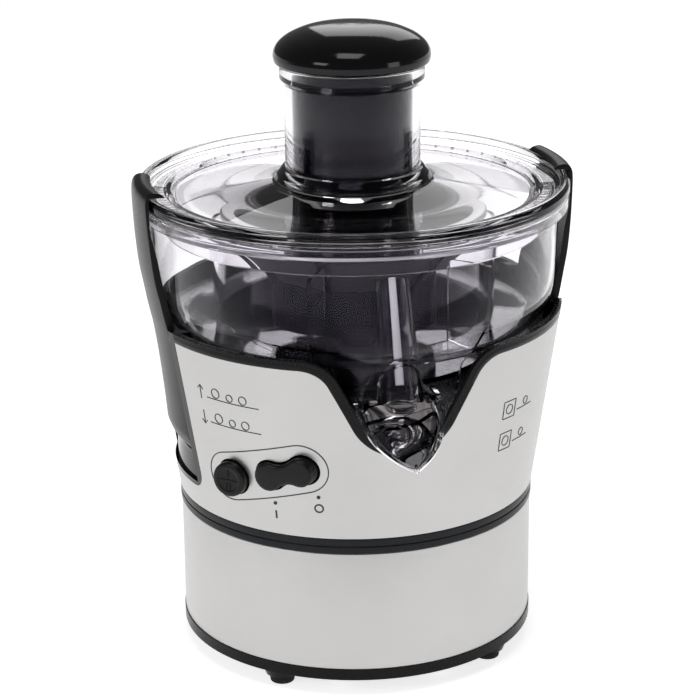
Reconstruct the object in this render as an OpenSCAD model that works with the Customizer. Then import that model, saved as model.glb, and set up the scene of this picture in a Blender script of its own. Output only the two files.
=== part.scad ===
// Centrifugal juicer with a clear bowl, a clamped clear lid and a two-speed control panel.
// Millimetres. Z is up, the origin is on the table on the spin axis, the spout points to -Y.

/* [Base] */
// height of the tray above the table
foot_h = 8.5; // [5:0.5:12]
// height of the black ring under the lower sleeve
tray_ring_h = 5.5; // [4:0.5:8]
// height of the lower steel sleeve
sleeve_h = 60; // [48:1:75]
// height of the black band between the two steel parts
band_h = 8.2; // [6:0.2:11]
// outer radius of the lower steel sleeve
base_r = 87.6; // [80:0.2:96]
// radius of the circle the feet stand on
foot_circle_r = 78; // [70:1:80]
// angle of the front feet from the spout
foot_angle = 42; // [30:1:50]

/* [Upper shell] */
// height of the upper steel shell
shell_h = 87.3; // [76:0.1:100]
// radius gained per millimetre of height
shell_taper = 0.149; // [0.1:0.001:0.17]
// thickness of the sheet steel
steel_t = 0.8; // [0.6:0.1:1.2]
// height and width of the black lip outside the steel edge
lip_w = 4.5; // [3:0.1:5.5]
// depth of the front notch below the steel edge
notch_depth = 44.5; // [36:0.5:48]
// radius of the bottom of the notch
notch_r = 27.5; // [24:0.5:28]
// radius of the rounded shoulders of the notch
shoulder_r = 15; // [12:0.5:18]
// half distance between the shoulder centres
shoulder_x = 49; // [47:0.5:52]

/* [Clamps] */
// width of the side clamps at the hinge
clamp_w = 56; // [44:1:60]
// width of the side clamps at the hook
hook_w = 42; // [34:1:44]
// thickness of the clamp plate
clamp_t = 3.4; // [2.8:0.1:4]
// radius of the clamp's hinge barrel
barrel_r = 4.8; // [4.2:0.1:5.2]
// height of the hinge above the bottom of the upper shell
hinge_rise = 35.8; // [30:0.2:42]

/* [Bowl and lid] */
// height of the bowl above the black lip
bowl_rise = 53; // [44:0.5:64]
// radius of the lid's rim
lid_r = 105; // [103:0.5:112]
// outer radius of the feed tube
tube_r = 32.8; // [29:0.1:33]
// wall of the feed tube
tube_t = 3.4; // [2.6:0.1:3.8]
// height of the feed tube above the bowl's rim
tube_rise = 64; // [50:1:80]
// wall of the clear mouldings
clear_t = 2.2; // [1.8:0.1:2.6]
// height of the pusher's domed cap
cap_h = 19.2; // [15:0.2:24]

/* [Basket] */
// outer radius of the basket's rim
rim_r = 64; // [58:0.5:65]
// outer radius of the basket's drum
drum_r = 40.5; // [37:0.5:44]
// height of the basket's drum
drum_h = 26; // [22:0.5:28]
// number of ribs around the filter
rib_count = 6; // [4:1:10]

/* [Drive] */
// radius of the motor shaft
shaft_r = 4; // [3:0.5:5]
// width of the motor's laminations
stator_w = 76; // [66:1:84]
// height of the motor's laminations
stator_h = 40; // [30:1:44]

/* [Controls] */
// angle of the control panel from the spout
panel_angle = -42; // [-50:1:-36]
// radius of the round speed button
button_r = 8.5; // [7:0.5:9.5]
// travel of the speed button
button_travel = 3; // [2:0.5:3]
// radius of the rocker's two lobes
lobe_r = 7; // [6.5:0.5:8.5]

/* [Hidden] */
$fn = 96;
eps = 0.02;
bite = 0.15;
far = 150;

// clearances
fit = 0.2;
slide_fit = 0.6;
run_fit = 0.06;
swing_gap = 0.6;
press_gap = 0.05;

// heights, from the table up
z_tray = foot_h;
z_sleeve = z_tray + tray_ring_h;
z_band = z_sleeve + sleeve_h;
z_shell = z_band + band_h;
z_steel = z_shell + shell_h;
z_lip = z_steel + lip_w;
z_floor = z_lip - 8;
z_well = z_floor - 16;
z_top = z_lip + bowl_rise;
z_lid = z_top + 2.5;
z_bead = z_lid + 6;
z_tube = z_top + tube_rise;
z_cap = z_tube + 0.3;
z_pin = z_shell + hinge_rise;
z_slot = z_shell + 11.3;
z_deck = z_steel - 43.5;
deck_t = 3;
z_boss = z_well - 1;
z_basket = z_floor - 3;
z_drum = z_basket + drum_h;
z_rim = z_top - 11;
rim_h = 4.5;
z_tube_end = z_basket + 17;

// radii
r_shell0 = base_r + 0.8;
band_r = base_r + 0.6;
tray_r = base_r + 0.4;
liner_t = 2.4;
liner_gap = steel_t + fit;
sleeve_in = base_r - steel_t - fit;
bowl_r = lid_r - 4.8;
tube_in = tube_r - tube_t;
pusher_r = tube_in - slide_fit;
cap_r = tube_r + 5.2;
divider_r = rim_r + 3;
boss_r = 14;
boss_in = 10.8;
pin_r = 2;
pin_x = r_at(z_pin) - 8.7;
heel_r = 8;
slot_w = clamp_w + 11;
slot_corner = 8;
cheek_y = clamp_w / 2 + swing_gap;
clamp_r = lid_r + 2.4;
hook_under = z_bead + 1.2;
hook_t = 2.6;
hook_in = lid_r - 7;
post_r = 74;
mount_xy = stator_w / 2 - 6;
z_stator = z_band - 18;
z_brk_low = z_stator - 26;
z_brk_up = z_stator + stator_h + 14;
bearing_r = 11;
bearing_h = 7;
z_bear_low = z_brk_low - 6;
z_bear_up = z_brk_up - 4;
z_comm = z_brk_low + 6;
comm_r = 10;
comm_h = 12;
rotor_r = 23;
winding_r = 34;
z_fan = z_tray + 6;
fan_r = 34;
z_shaft_top = z_basket - 2;
z_nut = z_well;
z_inlet = z_sleeve + 20;
skirt_h = 17.2;
rod_r = 2;
tower_h = 58;
chute_w = 34;
chute_d = 11;

// control panel, in a frame whose x runs along the panel and whose y is height
button_u = -17.1;
button_v = z_shell + 25.8;
rocker_u = 12.7;
rocker_v = z_shell + 33.5;
rocker_tilt = 16;
lobe_u = 8.6;
waist_h = 9.6;
button_face = r_at(button_v) + 4;
rocker_face = r_at(rocker_v) + 3.4;
switch_back = 77;
button_seat = r_at(button_v) - 7.6;
rocker_axis = r_at(rocker_v) - 4.9;
stem_r = 4;
pocket = [2 * (lobe_u + lobe_r) + 3.2, 2 * lobe_r + 4];

// spout
spout_r = 20.5;
spout_tilt = 21;
spout_y = r_at(z_steel) - 3.4;
spout_z = z_steel - notch_depth + 6.5 + spout_r / cos(spout_tilt);
beak_y = 84;
beak_r = 36;
beak_off = 15;
rim_back = [80, z_well];
rim_tip = [116, z_well - 23.5];

black = [0.06, 0.06, 0.065];
dark = [0.13, 0.13, 0.14];
steel = [0.78, 0.77, 0.76];
clear = [0.85, 0.84, 0.9, 0.35];
copper = [0.72, 0.4, 0.2];
white = [0.9, 0.9, 0.9];

// radius of the upper shell at a height
function r_at(z) = r_shell0 + shell_taper * (z - z_shell);

// outer profile of a clamp, bottom to top
clamp_outer = [[r_at(z_pin - 9) + 0.3, z_pin - 9], [r_at(z_pin + 27) - 1.5, z_pin + 27],
               [r_at(z_steel - 3.5) - 1.6, z_steel - 3.5], [r_at(z_lip + 2) - 1, z_lip + 2],
               [lid_r - 1.6, z_lip + 13], [lid_r + 0.4, z_lip + 24], [clamp_r - 0.8, z_lip + 38],
               [clamp_r, z_lip + 52]];

// a clamp's inner radius over the lower part, where the plate has one thickness
function shift(pts, dr) = [for (p = pts) [p[0] - dr, p[1]]];

// face of the insert behind a clamp
face_low = [r_at(z_slot) - 1.2, z_slot - 1];
insert_face = [face_low, [face_low[0], z_pin - 10], [clamp_outer[1][0] - clamp_t - 1, clamp_outer[1][1]],
               [clamp_outer[2][0] - clamp_t - 1, clamp_outer[2][1]],
               [r_at(z_lip) - clamp_t - 2.6, z_lip + eps]];

function reversed(pts) = [for (i = [len(pts) - 1 : -1 : 0]) pts[i]];

module spin(pts) {
    rotate_extrude() polygon(pts);
}

module tube(r_out, r_in, h) {
    difference() {
        cylinder(r = r_out, h = h);
        translate([0, 0, -1]) cylinder(r = r_in, h = h + 2);
    }
}

// turns what faces the spout to another angle round the juicer
module at_angle(a) {
    rotate([0, 0, a]) children();
}

// extrudes a drawing of a front view outwards, from one distance to another
module forward(from, to) {
    translate([0, -from, 0]) rotate([90, 0, 0]) linear_extrude(to - from) children();
}

// extrudes a drawing of a side view out of the right side
module sideways(from, to) {
    translate([from, 0, 0]) rotate([90, 0, 90]) linear_extrude(to - from) children();
}

// a solid with the upper shell's taper, set in by a distance
module cone_solid(inset, z0, z1) {
    spin([[0, z0], [r_at(z0) - inset, z0], [r_at(z1) - inset, z1], [0, z1]]);
}

module cone_band(inset, t, z0, z1) {
    spin([[r_at(z0) - inset - t, z0], [r_at(z0) - inset, z0],
          [r_at(z1) - inset, z1], [r_at(z1) - inset - t, z1]]);
}

// front notch, seen from the front, smaller by an inset
module notch_outline(inset) {
    low = notch_r - inset;
    high = shoulder_r + inset;
    zc = z_steel - notch_depth + notch_r;
    zs = z_steel - shoulder_r + press_gap;
    lean = atan2(zs - zc, shoulder_x) - acos((low + high) / norm([shoulder_x, zs - zc]));
    ta = [(low - bite) * cos(lean), zc + (low - bite) * sin(lean)];
    tb = [shoulder_x - (high - bite) * cos(lean), zs - (high - bite) * sin(lean)];
    difference() {
        union() {
            translate([0, zc]) circle(r = low);
            polygon([ta, tb, [shoulder_x, zs], [shoulder_x, z_lip + 30], [-shoulder_x, z_lip + 30],
                     [-shoulder_x, zs], [-tb[0], tb[1]], [-ta[0], ta[1]]]);
        }
        for (s = [-1, 1]) translate([s * shoulder_x, zs]) circle(r = high);
    }
}

// side slot for a clamp, seen from the side
module slot_outline(gap) {
    w = slot_w - 2 * gap;
    translate([-w / 2, z_slot + gap + slot_corner]) square([w, far]);
    translate([slot_corner - w / 2, z_slot + gap]) square([w - 2 * slot_corner, far]);
    for (s = [-1, 1]) translate([s * (w / 2 - slot_corner), z_slot + gap + slot_corner])
        circle(r = slot_corner);
}

module both_sides() {
    children();
    rotate([0, 0, 180]) children();
}

module rocker_outline(grow) {
    translate([rocker_u, rocker_v]) rotate(rocker_tilt) {
        for (s = [-1, 1]) translate([s * lobe_u, 0]) circle(r = lobe_r + grow);
        square([2 * lobe_u, waist_h + 2 * grow], center = true);
    }
}

module pocket_outline(grow) {
    translate([rocker_u, rocker_v]) rotate(rocker_tilt)
        square([pocket[0] + 2 * grow, pocket[1] + 2 * grow], center = true);
}

module button_outline(r) {
    translate([button_u, button_v]) circle(r = r);
}

// pill shape round both controls
module pill(r) {
    a = [-19.7, z_shell + 25.3];
    b = [20.2, z_shell + 36.3];
    for (p = [a, b]) translate(p) circle(r = r);
    translate((a + b) / 2) rotate(atan2(b[1] - a[1], b[0] - a[0]))
        square([norm(b - a), 2 * r], center = true);
}

/* ---- base ---- */

module foot_spots() {
    for (a = [foot_angle, 180 - foot_angle, 180 + foot_angle, -foot_angle])
        at_angle(a) translate([0, -foot_circle_r, 0]) children();
}

module post_spots() {
    for (a = [20, 160, 200, 340]) at_angle(a) translate([0, -post_r, 0]) children();
}

module bottom_cover() {
    color(black) difference() {
        union() {
            translate([0, 0, z_tray]) cylinder(r = tray_r, h = 2.5);
            translate([0, 0, z_tray]) tube(tray_r, base_r - 4.6, tray_ring_h);
            translate([0, 0, z_tray]) tube(sleeve_in, sleeve_in - 2, tray_ring_h + 9);
            foot_spots() translate([0, 0, z_tray - 4]) cylinder(r1 = 8, r2 = 9.5, h = 4 + eps);
            foot_spots() translate([0, 0, z_tray]) cylinder(r = 7, h = 5);
            for (s = [-1, 1]) translate([58, s * 20, z_tray]) cylinder(r = 3, h = 7);
        }
        foot_spots() translate([0, 0, z_tray - 5]) cylinder(r = 3 + press_gap, h = 8);
        post_spots() translate([0, 0, z_tray - 1]) cylinder(r = 2, h = 10);
        post_spots() translate([0, 0, z_tray - 1]) cylinder(r = 4, h = 2);
        for (a = [0 : 45 : 315]) rotate([0, 0, a]) translate([14, -2, z_tray - 1]) cube([18, 4, 5]);
    }
}

module rubber_feet() {
    color(dark) foot_spots() {
        cylinder(r = 6, h = z_tray - 4);
        translate([0, 0, z_tray - 4 - eps]) cylinder(r = 3, h = 6);
    }
}

module cover_screws() {
    color(steel) post_spots() translate([0, 0, z_tray]) {
        cylinder(r = 3.6, h = 0.9);
        cylinder(r = 1.4, h = 16);
    }
}

module base_sleeve() {
    color(steel) difference() {
        translate([0, 0, z_sleeve]) tube(base_r, base_r - steel_t, sleeve_h);
        rotate([0, 0, 180]) translate([0, 0, z_inlet]) forward(base_r - 10, base_r + 10)
            circle(r = 7);
    }
}

module middle_band() {
    color(dark) spin([[sleeve_in - 2, z_band - 5], [sleeve_in, z_band - 5], [sleeve_in, z_band],
                      [band_r, z_band], [band_r, z_shell], [sleeve_in + 0.4, z_shell],
                      [sleeve_in + 0.4, z_shell + 4], [sleeve_in - 2, z_shell + 4]]);
}

module upper_shell() {
    color(steel) difference() {
        rotate([0, 0, 135]) cone_band(0, steel_t, z_shell, z_steel);
        forward(60, far) notch_outline(0);
        both_sides() sideways(60, far) slot_outline(0);
        at_angle(panel_angle) forward(60, far) {
            button_outline(button_r + 0.8);
            rocker_outline(1);
        }
    }
}

// what a side insert takes up behind the steel
module insert_space(gap) {
    difference() {
        sideways(60, far) slot_outline(-gap);
        spin(concat([[0, face_low[1] - 9]], shift([[face_low[0], face_low[1] - 9]], 2 + gap),
                    shift(insert_face, 2 + gap), [[insert_face[4][0] - 2 - gap, far * 2], [0, far * 2]]));
    }
}

module inner_housing() {
    color(black) difference() {
        union() {
            cone_band(liner_gap, liner_t, z_shell + 4, z_lip);
            intersection() {
                cone_band(0, liner_gap + liner_t, z_shell + 4, z_lip);
                union() {
                    translate([-far, -far, z_steel + 0.1]) cube([2 * far, 2 * far, far]);
                    forward(60, far) notch_outline(0.1);
                }
            }
            cone_solid(liner_gap + 1, z_deck, z_deck + deck_t);
            seal_boss();
            difference() {
                cone_band(liner_gap + 1, 14, z_floor - 3, z_floor);
                translate([-44, -far, z_floor - 4]) cube([88, far - 50, 5]);
            }
            post_spots() translate([0, 0, z_tray + 2.6]) cylinder(r = 4.5, h = z_deck - z_tray - 2);
            for (x = [-1, 1], y = [-1, 1]) translate([x * mount_xy, y * mount_xy, z_brk_up + 6])
                cylinder(r = 5, h = z_deck - z_brk_up - 5);
            intersection() {
                cone_solid(liner_gap + 1, z_shell + 5, z_deck + 1);
                at_angle(panel_angle) forward(switch_back, far) {
                    button_outline(button_r + 2.1);
                    pocket_outline(1.5);
                }
            }
        }
        forward(60, far) notch_outline(lip_w);
        both_sides() insert_space(fit);
        translate([0, 0, z_deck - 1]) cylinder(r = boss_in, h = 60);
        post_spots() translate([0, 0, z_tray]) cylinder(r = 1.5, h = 18);
        for (x = [-1, 1], y = [-1, 1]) translate([x * mount_xy, y * mount_xy, z_brk_up])
            cylinder(r = 1.9, h = 15);
        at_angle(panel_angle) forward(switch_back, far) {
            button_outline(button_r + 0.6);
            pocket_outline(0);
        }
    }
}

// raised seat for the shaft seal
module seal_boss() {
    translate([0, 0, z_deck]) cylinder(r = boss_r, h = z_boss - z_deck);
}

module side_insert() {
    color(black) difference() {
        union() {
            intersection() {
                sideways(60, far) slot_outline(fit);
                spin(concat(shift(insert_face, 2), reversed(insert_face)));
                translate([0, -far, 0]) cube([far, 2 * far, z_lip - 4]);
            }
            intersection() {
                difference() {
                    sideways(60, far) slot_outline(fit);
                    translate([60, -cheek_y, z_slot + 2.4]) cube([far, 2 * cheek_y, far]);
                }
                spin(concat(shift(insert_face, 2), [[r_at(z_lip) - press_gap, z_lip],
                                                     [r_at(z_slot - 1) - press_gap, z_slot - 1]]));
            }
            intersection() {
                union() {
                    along_hinge(barrel_r + 2.4, slot_w - 2 * fit);
                    below_hinge(0) along_hinge(heel_r + 2.4, slot_w - 2 * fit);
                }
                spin(concat([[0, z_slot - 1]], insert_face, [[0, z_lip]]));
            }
        }
        along_hinge(barrel_r + swing_gap, 2 * cheek_y);
        below_hinge(60) along_hinge(heel_r + swing_gap, 2 * cheek_y);
        along_hinge(pin_r + press_gap, slot_w + 2);
    }
}

// keeps what lies below the hinge line and outside a distance
module below_hinge(from) {
    intersection() {
        children();
        translate([from, -far, z_pin - far]) cube([far, 2 * far, far]);
    }
}

// cylinder along a clamp's hinge line
module along_hinge(r, w) {
    translate([pin_x, w / 2, z_pin]) rotate([90, 0, 0]) cylinder(r = r, h = w);
}

module side_insert_right() {
    side_insert();
}

module side_insert_left() {
    rotate([0, 0, 180]) side_insert();
}

module hinge_pin_right() {
    color(steel) along_hinge(pin_r, slot_w - 5);
}

module hinge_pin_left() {
    rotate([0, 0, 180]) hinge_pin_right();
}

module cord_inlet() {
    color(black) rotate([0, 0, 180]) translate([0, 0, z_inlet]) difference() {
        union() {
            forward(base_r - 3, base_r + 2.5) circle(r = 6.8);
            forward(base_r + 0.3, base_r + 2.5) circle(r = 9);
            forward(base_r - 6, base_r - 2.4) circle(r = 9);
        }
        forward(base_r - 10, base_r + 4) circle(r = 3.6);
    }
}

/* ---- electrics ---- */

module circuit_board() {
    color([0.1, 0.35, 0.18]) translate([46, -25, z_tray + 7]) cube([22, 50, 1.6]);
}

module capacitor() {
    color(dark) translate([57, 4, z_tray + 8.6]) cylinder(r = 6, h = 14);
}

module safety_switch() {
    color(dark) rotate([0, 0, 180]) translate([pin_x - heel_r - 13, -10, z_pin - 7]) cube([10, 20, 14]);
}

module speed_switch() {
    color(dark) at_angle(panel_angle) difference() {
        forward(switch_back, button_seat) button_outline(button_r + 0.5);
        forward(switch_back + 1, button_seat + 1) button_outline(stem_r + run_fit);
    }
}

module power_switch() {
    color(dark) at_angle(panel_angle) difference() {
        union() {
            forward(switch_back, rocker_axis - 4) pocket_outline(-fit);
            for (s = [-1, 1]) forward(rocker_axis - 5, rocker_axis + 2)
                translate([rocker_u, rocker_v]) rotate(rocker_tilt) translate([0, s * (waist_h / 2 + 2)])
                    square([6, 1.6], center = true);
        }
        rocker_trunnion(1.5 + run_fit, 2 * lobe_r + 3);
    }
}

module rocker_trunnion(r, w) {
    translate([rocker_u, -rocker_axis, rocker_v]) rotate([0, -rocker_tilt, 0])
        translate([0, 0, -w / 2]) cylinder(r = r, h = w);
}

/* ---- motor ---- */

module corner_spots() {
    for (x = [-1, 1], y = [-1, 1]) translate([x * mount_xy, y * mount_xy, 0]) children();
}

module motor_stator() {
    color(dark) difference() {
        translate([-stator_w / 2, -stator_w / 2, z_stator]) cube([stator_w, stator_w, stator_h]);
        translate([0, 0, z_stator - 1]) cylinder(r = rotor_r + 1, h = stator_h + 2);
        translate([-31, -13, z_stator - 1]) cube([62, 26, stator_h + 2]);
        corner_spots() translate([0, 0, z_stator - 1]) cylinder(r = 2.2, h = stator_h + 2);
    }
}

module field_windings() {
    color(copper) {
        for (z = [z_stator - 8, z_stator + stator_h]) translate([0, 0, z])
            tube(winding_r, winding_r - 8, 8);
        for (s = [-1, 1]) translate([s * 28.5 - 2, -11, z_stator - eps]) cube([4, 22, stator_h + 2 * eps]);
    }
}

module bracket(z0, leg_from, leg_to, cup_from, cup_to) {
    difference() {
        union() {
            translate([-stator_w / 2, -8, z0]) cube([stator_w, 16, 3]);
            for (s = [-1, 1]) translate([s * mount_xy - 5, -stator_w / 2, z0]) cube([10, stator_w, 3]);
            corner_spots() translate([0, 0, leg_from]) cylinder(r = 4, h = leg_to - leg_from);
            translate([0, 0, cup_from]) cylinder(r = bearing_r + 2.5, h = cup_to - cup_from);
        }
        translate([0, 0, cup_from - 1]) cylinder(r = bearing_r + press_gap, h = cup_to - cup_from + 2);
        corner_spots() translate([0, 0, leg_from - 5]) cylinder(r = 2.2, h = leg_to - leg_from + 10);
    }
}

module motor_bracket_lower() {
    color(steel) bracket(z_brk_low, z_brk_low + 1, z_stator, z_bear_low, z_brk_low + 3);
}

module motor_bracket_upper() {
    color(steel) bracket(z_brk_up, z_stator + stator_h, z_brk_up + 1, z_bear_up, z_brk_up + 3);
}

module bearing_lower() {
    color(steel) translate([0, 0, z_bear_low + 1]) tube(bearing_r, shaft_r + run_fit, bearing_h);
}

module bearing_upper() {
    color(steel) translate([0, 0, z_bear_up]) tube(bearing_r, shaft_r + run_fit, bearing_h);
}

module brush_holders() {
    color(black) both_sides() difference() {
        translate([13, -5, z_brk_low + 3]) cube([21, 10, 13]);
        translate([12, -3, z_comm + 2]) cube([20, 6, 8]);
    }
}

module carbon_brushes() {
    color(dark) both_sides() translate([comm_r + 0.3, -2.8, z_comm + 2.2]) cube([17, 5.6, 7.6]);
}

module rubber_mounts() {
    color(black) corner_spots() translate([0, 0, z_brk_up + 3]) tube(6, 2.2, 3);
}

module motor_screws() {
    color(steel) corner_spots() {
        translate([0, 0, z_brk_low - 3]) cylinder(r = 4, h = 3);
        translate([0, 0, z_brk_low - 1]) cylinder(r = 1.8, h = z_brk_up - z_brk_low + 13);
    }
}

module shaft_seal() {
    color(black) translate([0, 0, z_boss - 6]) tube(boss_in - press_gap, shaft_r + run_fit, 5);
}

module motor_shaft() {
    color(steel) translate([0, 0, z_fan]) cylinder(r = shaft_r, h = z_shaft_top - z_fan);
}

module armature() {
    color(dark) translate([0, 0, z_stator + 2]) tube(rotor_r, shaft_r + press_gap, stator_h - 4);
}

module armature_winding() {
    color(copper) for (z = [z_stator - 6, z_stator + stator_h - 2])
        translate([0, 0, z]) tube(18, shaft_r + press_gap, 8);
}

module commutator() {
    color(copper) translate([0, 0, z_comm]) tube(comm_r, shaft_r + press_gap, comm_h);
}

module cooling_fan() {
    color(white) translate([0, 0, z_fan]) difference() {
        union() {
            cylinder(r = 8, h = 8);
            translate([0, 0, 6.5]) cylinder(r = fan_r, h = 1.5);
            for (a = [0 : 40 : 320]) rotate([0, 0, a]) translate([6, -0.8, 0.5]) cube([fan_r - 7, 1.6, 7]);
        }
        translate([0, 0, -1]) cylinder(r = shaft_r + press_gap, h = 12);
    }
}

module drive_coupling() {
    color(black) difference() {
        union() {
            translate([0, 0, z_nut]) cylinder(r = 10, h = 3);
            translate([0, 0, z_nut]) cylinder(r = 8, h = z_basket - 1 - z_nut, $fn = 6);
        }
        translate([0, 0, z_nut - 1]) cylinder(r = shaft_r + press_gap, h = z_shaft_top - z_nut + 1.2);
    }
}

/* ---- basket ---- */

module basket_frame() {
    color(black) difference() {
        union() {
            translate([0, 0, z_basket]) cylinder(r = drum_r - 1, h = 3);
            translate([0, 0, z_basket]) tube(drum_r, drum_r - 2, drum_h);
            translate([0, 0, z_nut + 3.3]) cylinder(r = 12, h = z_basket - z_nut - 2);
            translate([0, 0, z_basket + 2]) tube(33, 30, 8);
            for (i = [0 : rib_count - 1]) rotate([0, 0, i * 360 / rib_count]) rotate([90, 0, 0])
                translate([0, 0, -1.5]) linear_extrude(3)
                    polygon([[drum_r - 1.8, z_drum - 4], [drum_r, z_drum - 4], [rim_r - 2, z_rim],
                             [rim_r - 4.6, z_rim], [drum_r - 0.1, z_drum - eps], [drum_r - 1.8, z_drum - eps]]);
        }
        translate([0, 0, z_nut]) cylinder(r = 8 + fit, h = z_basket - 0.7 - z_nut, $fn = 6);
    }
}

module filter_mesh() {
    color(steel) spin([[drum_r - 1.2, z_drum + 0.3], [drum_r - 0.6, z_drum + 0.3],
                       [rim_r - 5.1, z_rim - 0.2], [rim_r - 5.7, z_rim - 0.2]]);
}

module grater_disc() {
    color(steel) {
        translate([0, 0, z_basket + 10]) cylinder(r = drum_r - 3, h = 1);
        for (a = [0 : 30 : 330], r = [12 : 8 : 28]) rotate([0, 0, a + r])
            translate([r, -1.5, z_basket + 10.5]) cube([0.8, 3, 1.8]);
    }
}

module basket_rim() {
    color(steel) spin([[rim_r - 8, z_rim], [rim_r - 1, z_rim], [rim_r, z_rim + 1], [rim_r, z_rim + rim_h - 1],
                       [rim_r - 1, z_rim + rim_h], [rim_r - 7, z_rim + rim_h], [rim_r - 8, z_rim + 2]]);
}

/* ---- bowl, spout and lid ---- */

bowl_wall = [[bowl_r - 16, z_floor], [bowl_r - 12, z_floor + 0.8], [bowl_r - 8.2, z_floor + 4],
             [bowl_r - 4.9, z_floor + 9.5], [bowl_r - 2.6, z_floor + 15.5], [bowl_r - 1.5, z_floor + 23.5],
             [bowl_r - 0.6, z_floor + 43.5], [bowl_r, z_top]];

// inner side of the bowl's wall, from the rim down to the floor
bowl_inner = concat([[bowl_r - clear_t, z_top]],
                    [for (i = [6, 5]) [bowl_wall[i][0] - clear_t, bowl_wall[i][1]]],
                    [[bowl_wall[4][0] - clear_t - 0.2, bowl_wall[4][1] + 0.5],
                     [bowl_wall[3][0] - clear_t - 0.7, bowl_wall[3][1] + 1],
                     [bowl_wall[2][0] - clear_t - 0.8, bowl_wall[2][1] + 1.2],
                     [bowl_wall[1][0] - clear_t, z_floor + clear_t], [bowl_wall[0][0], z_floor + clear_t]]);

// flat walls across the pulp space, which stop under the lid's skirt
module pulp_walls() {
    wall_h = z_lid - skirt_h - slide_fit - z_floor;
    for (s = [-1, 1]) intersection() {
        at_angle(s * 26) translate([-1, -bowl_r, z_floor]) cube([2, bowl_r - divider_r - 1, wall_h]);
        spin([[0, z_floor], [bowl_r - 13, z_floor], [bowl_r - 5, z_floor + 11],
              [bowl_r - 1.5, z_top], [0, z_top]]);
    }
}

// wall that fills the front notch, down to the spout
module apron() {
    intersection() {
        translate([0, 0, z_well]) tube(bowl_r - 6, bowl_r - 8, z_floor + 9 - z_well);
        forward(60, far) notch_outline(lip_w + 1.5);
    }
}

module pulp_ring() {
    difference() {
        union() {
            spin(concat(bowl_wall, bowl_inner));
            translate([0, 0, z_floor]) tube(bowl_r - 15, divider_r, clear_t);
            translate([0, 0, z_top - 2]) tube(bowl_r + 1.2, bowl_r - 1, 2);
            pulp_walls();
            apron();
        }
        translate([0, 0, z_well]) cylinder(r = divider_r, h = far);
    }
}

module drip_tower() {
    intersection() {
        drip_line() cylinder(r1 = 11, r2 = 7.5, h = tower_h);
        difference() {
            translate([0, 0, z_well]) cylinder(r = far, h = far);
            cylinder(r = divider_r + 0.5, h = far * 3);
        }
    }
}

module juice_bowl() {
    chute_y = divider_r + chute_d;
    color(clear) difference() {
        union() {
            pulp_ring();
            translate([0, 0, z_well]) tube(divider_r + 2, divider_r, z_rim - 2 - z_well);
            translate([0, 0, z_well]) tube(divider_r + 1, boss_r + 1, 2);
            translate([0, 0, z_well]) tube(boss_r + 3, boss_r + 1, 8);
            translate([-chute_w / 2, -chute_y, z_well]) cube([chute_w, chute_d + 2, z_floor - z_well + 1]);
            drip_tower();
        }
        translate([2 - chute_w / 2, -chute_y - 1, z_well + 2])
            cube([chute_w - 4, chute_d + 4, z_floor - z_well - 3]);
        drip_line() translate([0, 0, -3]) cylinder(r1 = 9.5, r2 = 5.8, h = tower_h + 2);
        drip_line() cylinder(r = rod_r + press_gap, h = tower_h + 2);
    }
}

// frame of the leaning drip-stop tower, z along the rod
module drip_line() {
    translate([0, -88, z_well - 1]) rotate([-15.5, 0, 0]) children();
}

module beak(r, out, back) {
    intersection() {
        translate([0, -spout_y, spout_z]) rotate([90 + spout_tilt, 0, 0])
            translate([0, 0, -60]) cylinder(r = r, h = 120);
        linear_extrude(far * 2) {
            intersection() {
                intersection_for (s = [-1, 1]) translate([s * beak_off, -beak_y]) circle(r = out);
                translate([-far, -2 * far - beak_y + eps]) square(2 * far);
            }
            translate([-out + beak_off, -beak_y]) square([2 * (out - beak_off), beak_y - back]);
        }
    }
}

module spout() {
    color(clear) difference() {
        beak(spout_r, beak_r, 70);
        beak(spout_r - 2, beak_r - 2, 60);
        // open top, along the sloping rim
        rotate([90, 0, 90]) translate([0, 0, -40]) linear_extrude(80)
            polygon([[-60, rim_back[1]], [-rim_back[0], rim_back[1]], [-rim_tip[0], rim_tip[1]],
                     [-140, rim_tip[1] - 15], [-140, 260], [-60, 260]]);
    }
}

module drip_rod() {
    color(white) drip_line() translate([0, 0, 9]) cylinder(r = rod_r, h = tower_h - 8);
}

module drip_plug() {
    color(clear) translate([0, -88, z_well - 4.2]) cylinder(r = 7.5, h = 3);
}

module lid_seal() {
    color(white) translate([0, 0, z_top]) tube(bowl_r - 0.4, bowl_r - 2, z_lid - z_top);
}

module lid() {
    color(clear) {
        spin([[lid_r - 2.6, z_lid - 7.1], [lid_r - 0.6, z_lid - 7.1], [lid_r - 0.5, z_lid], [lid_r, z_lid + 1],
              [lid_r, z_lid + 4], [lid_r - 1.5, z_bead], [lid_r - 3, z_bead], [lid_r - 4.5, z_lid + 4],
              [lid_r - 15, z_lid + 2.5], [lid_r - 16, z_lid + 2.2], [lid_r - 19, z_lid - 1],
              [tube_r + 5, z_lid + 5.5], [tube_r + 4, z_lid + 9], [tube_r + 1.5, z_lid + 11.5],
              [tube_r, z_lid + 11.8], [tube_r, z_tube - 8], [tube_r + 2.2, z_tube - 6.5],
              [tube_r + 2.2, z_tube - 0.6], [tube_r + 1.6, z_tube], [tube_in, z_tube],
              [tube_in, z_tube_end], [tube_r, z_tube_end], [tube_r, z_lid + 3],
              [lid_r - 18.4, z_lid - 3.4], [lid_r - 15.3, z_lid - 0.4], [lid_r - 15.3, z_lid - skirt_h],
              [lid_r - 13.3, z_lid - skirt_h], [lid_r - 13.3, z_lid], [lid_r - 2.6, z_lid]]);
        for (a = [0 : 6 : 354]) rotate([0, 0, a]) translate([lid_r - 13, -0.8, z_lid - 1.8])
            cube([5, 1.6, 1.8 + eps]);
    }
}

/* ---- moving parts ---- */

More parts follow.
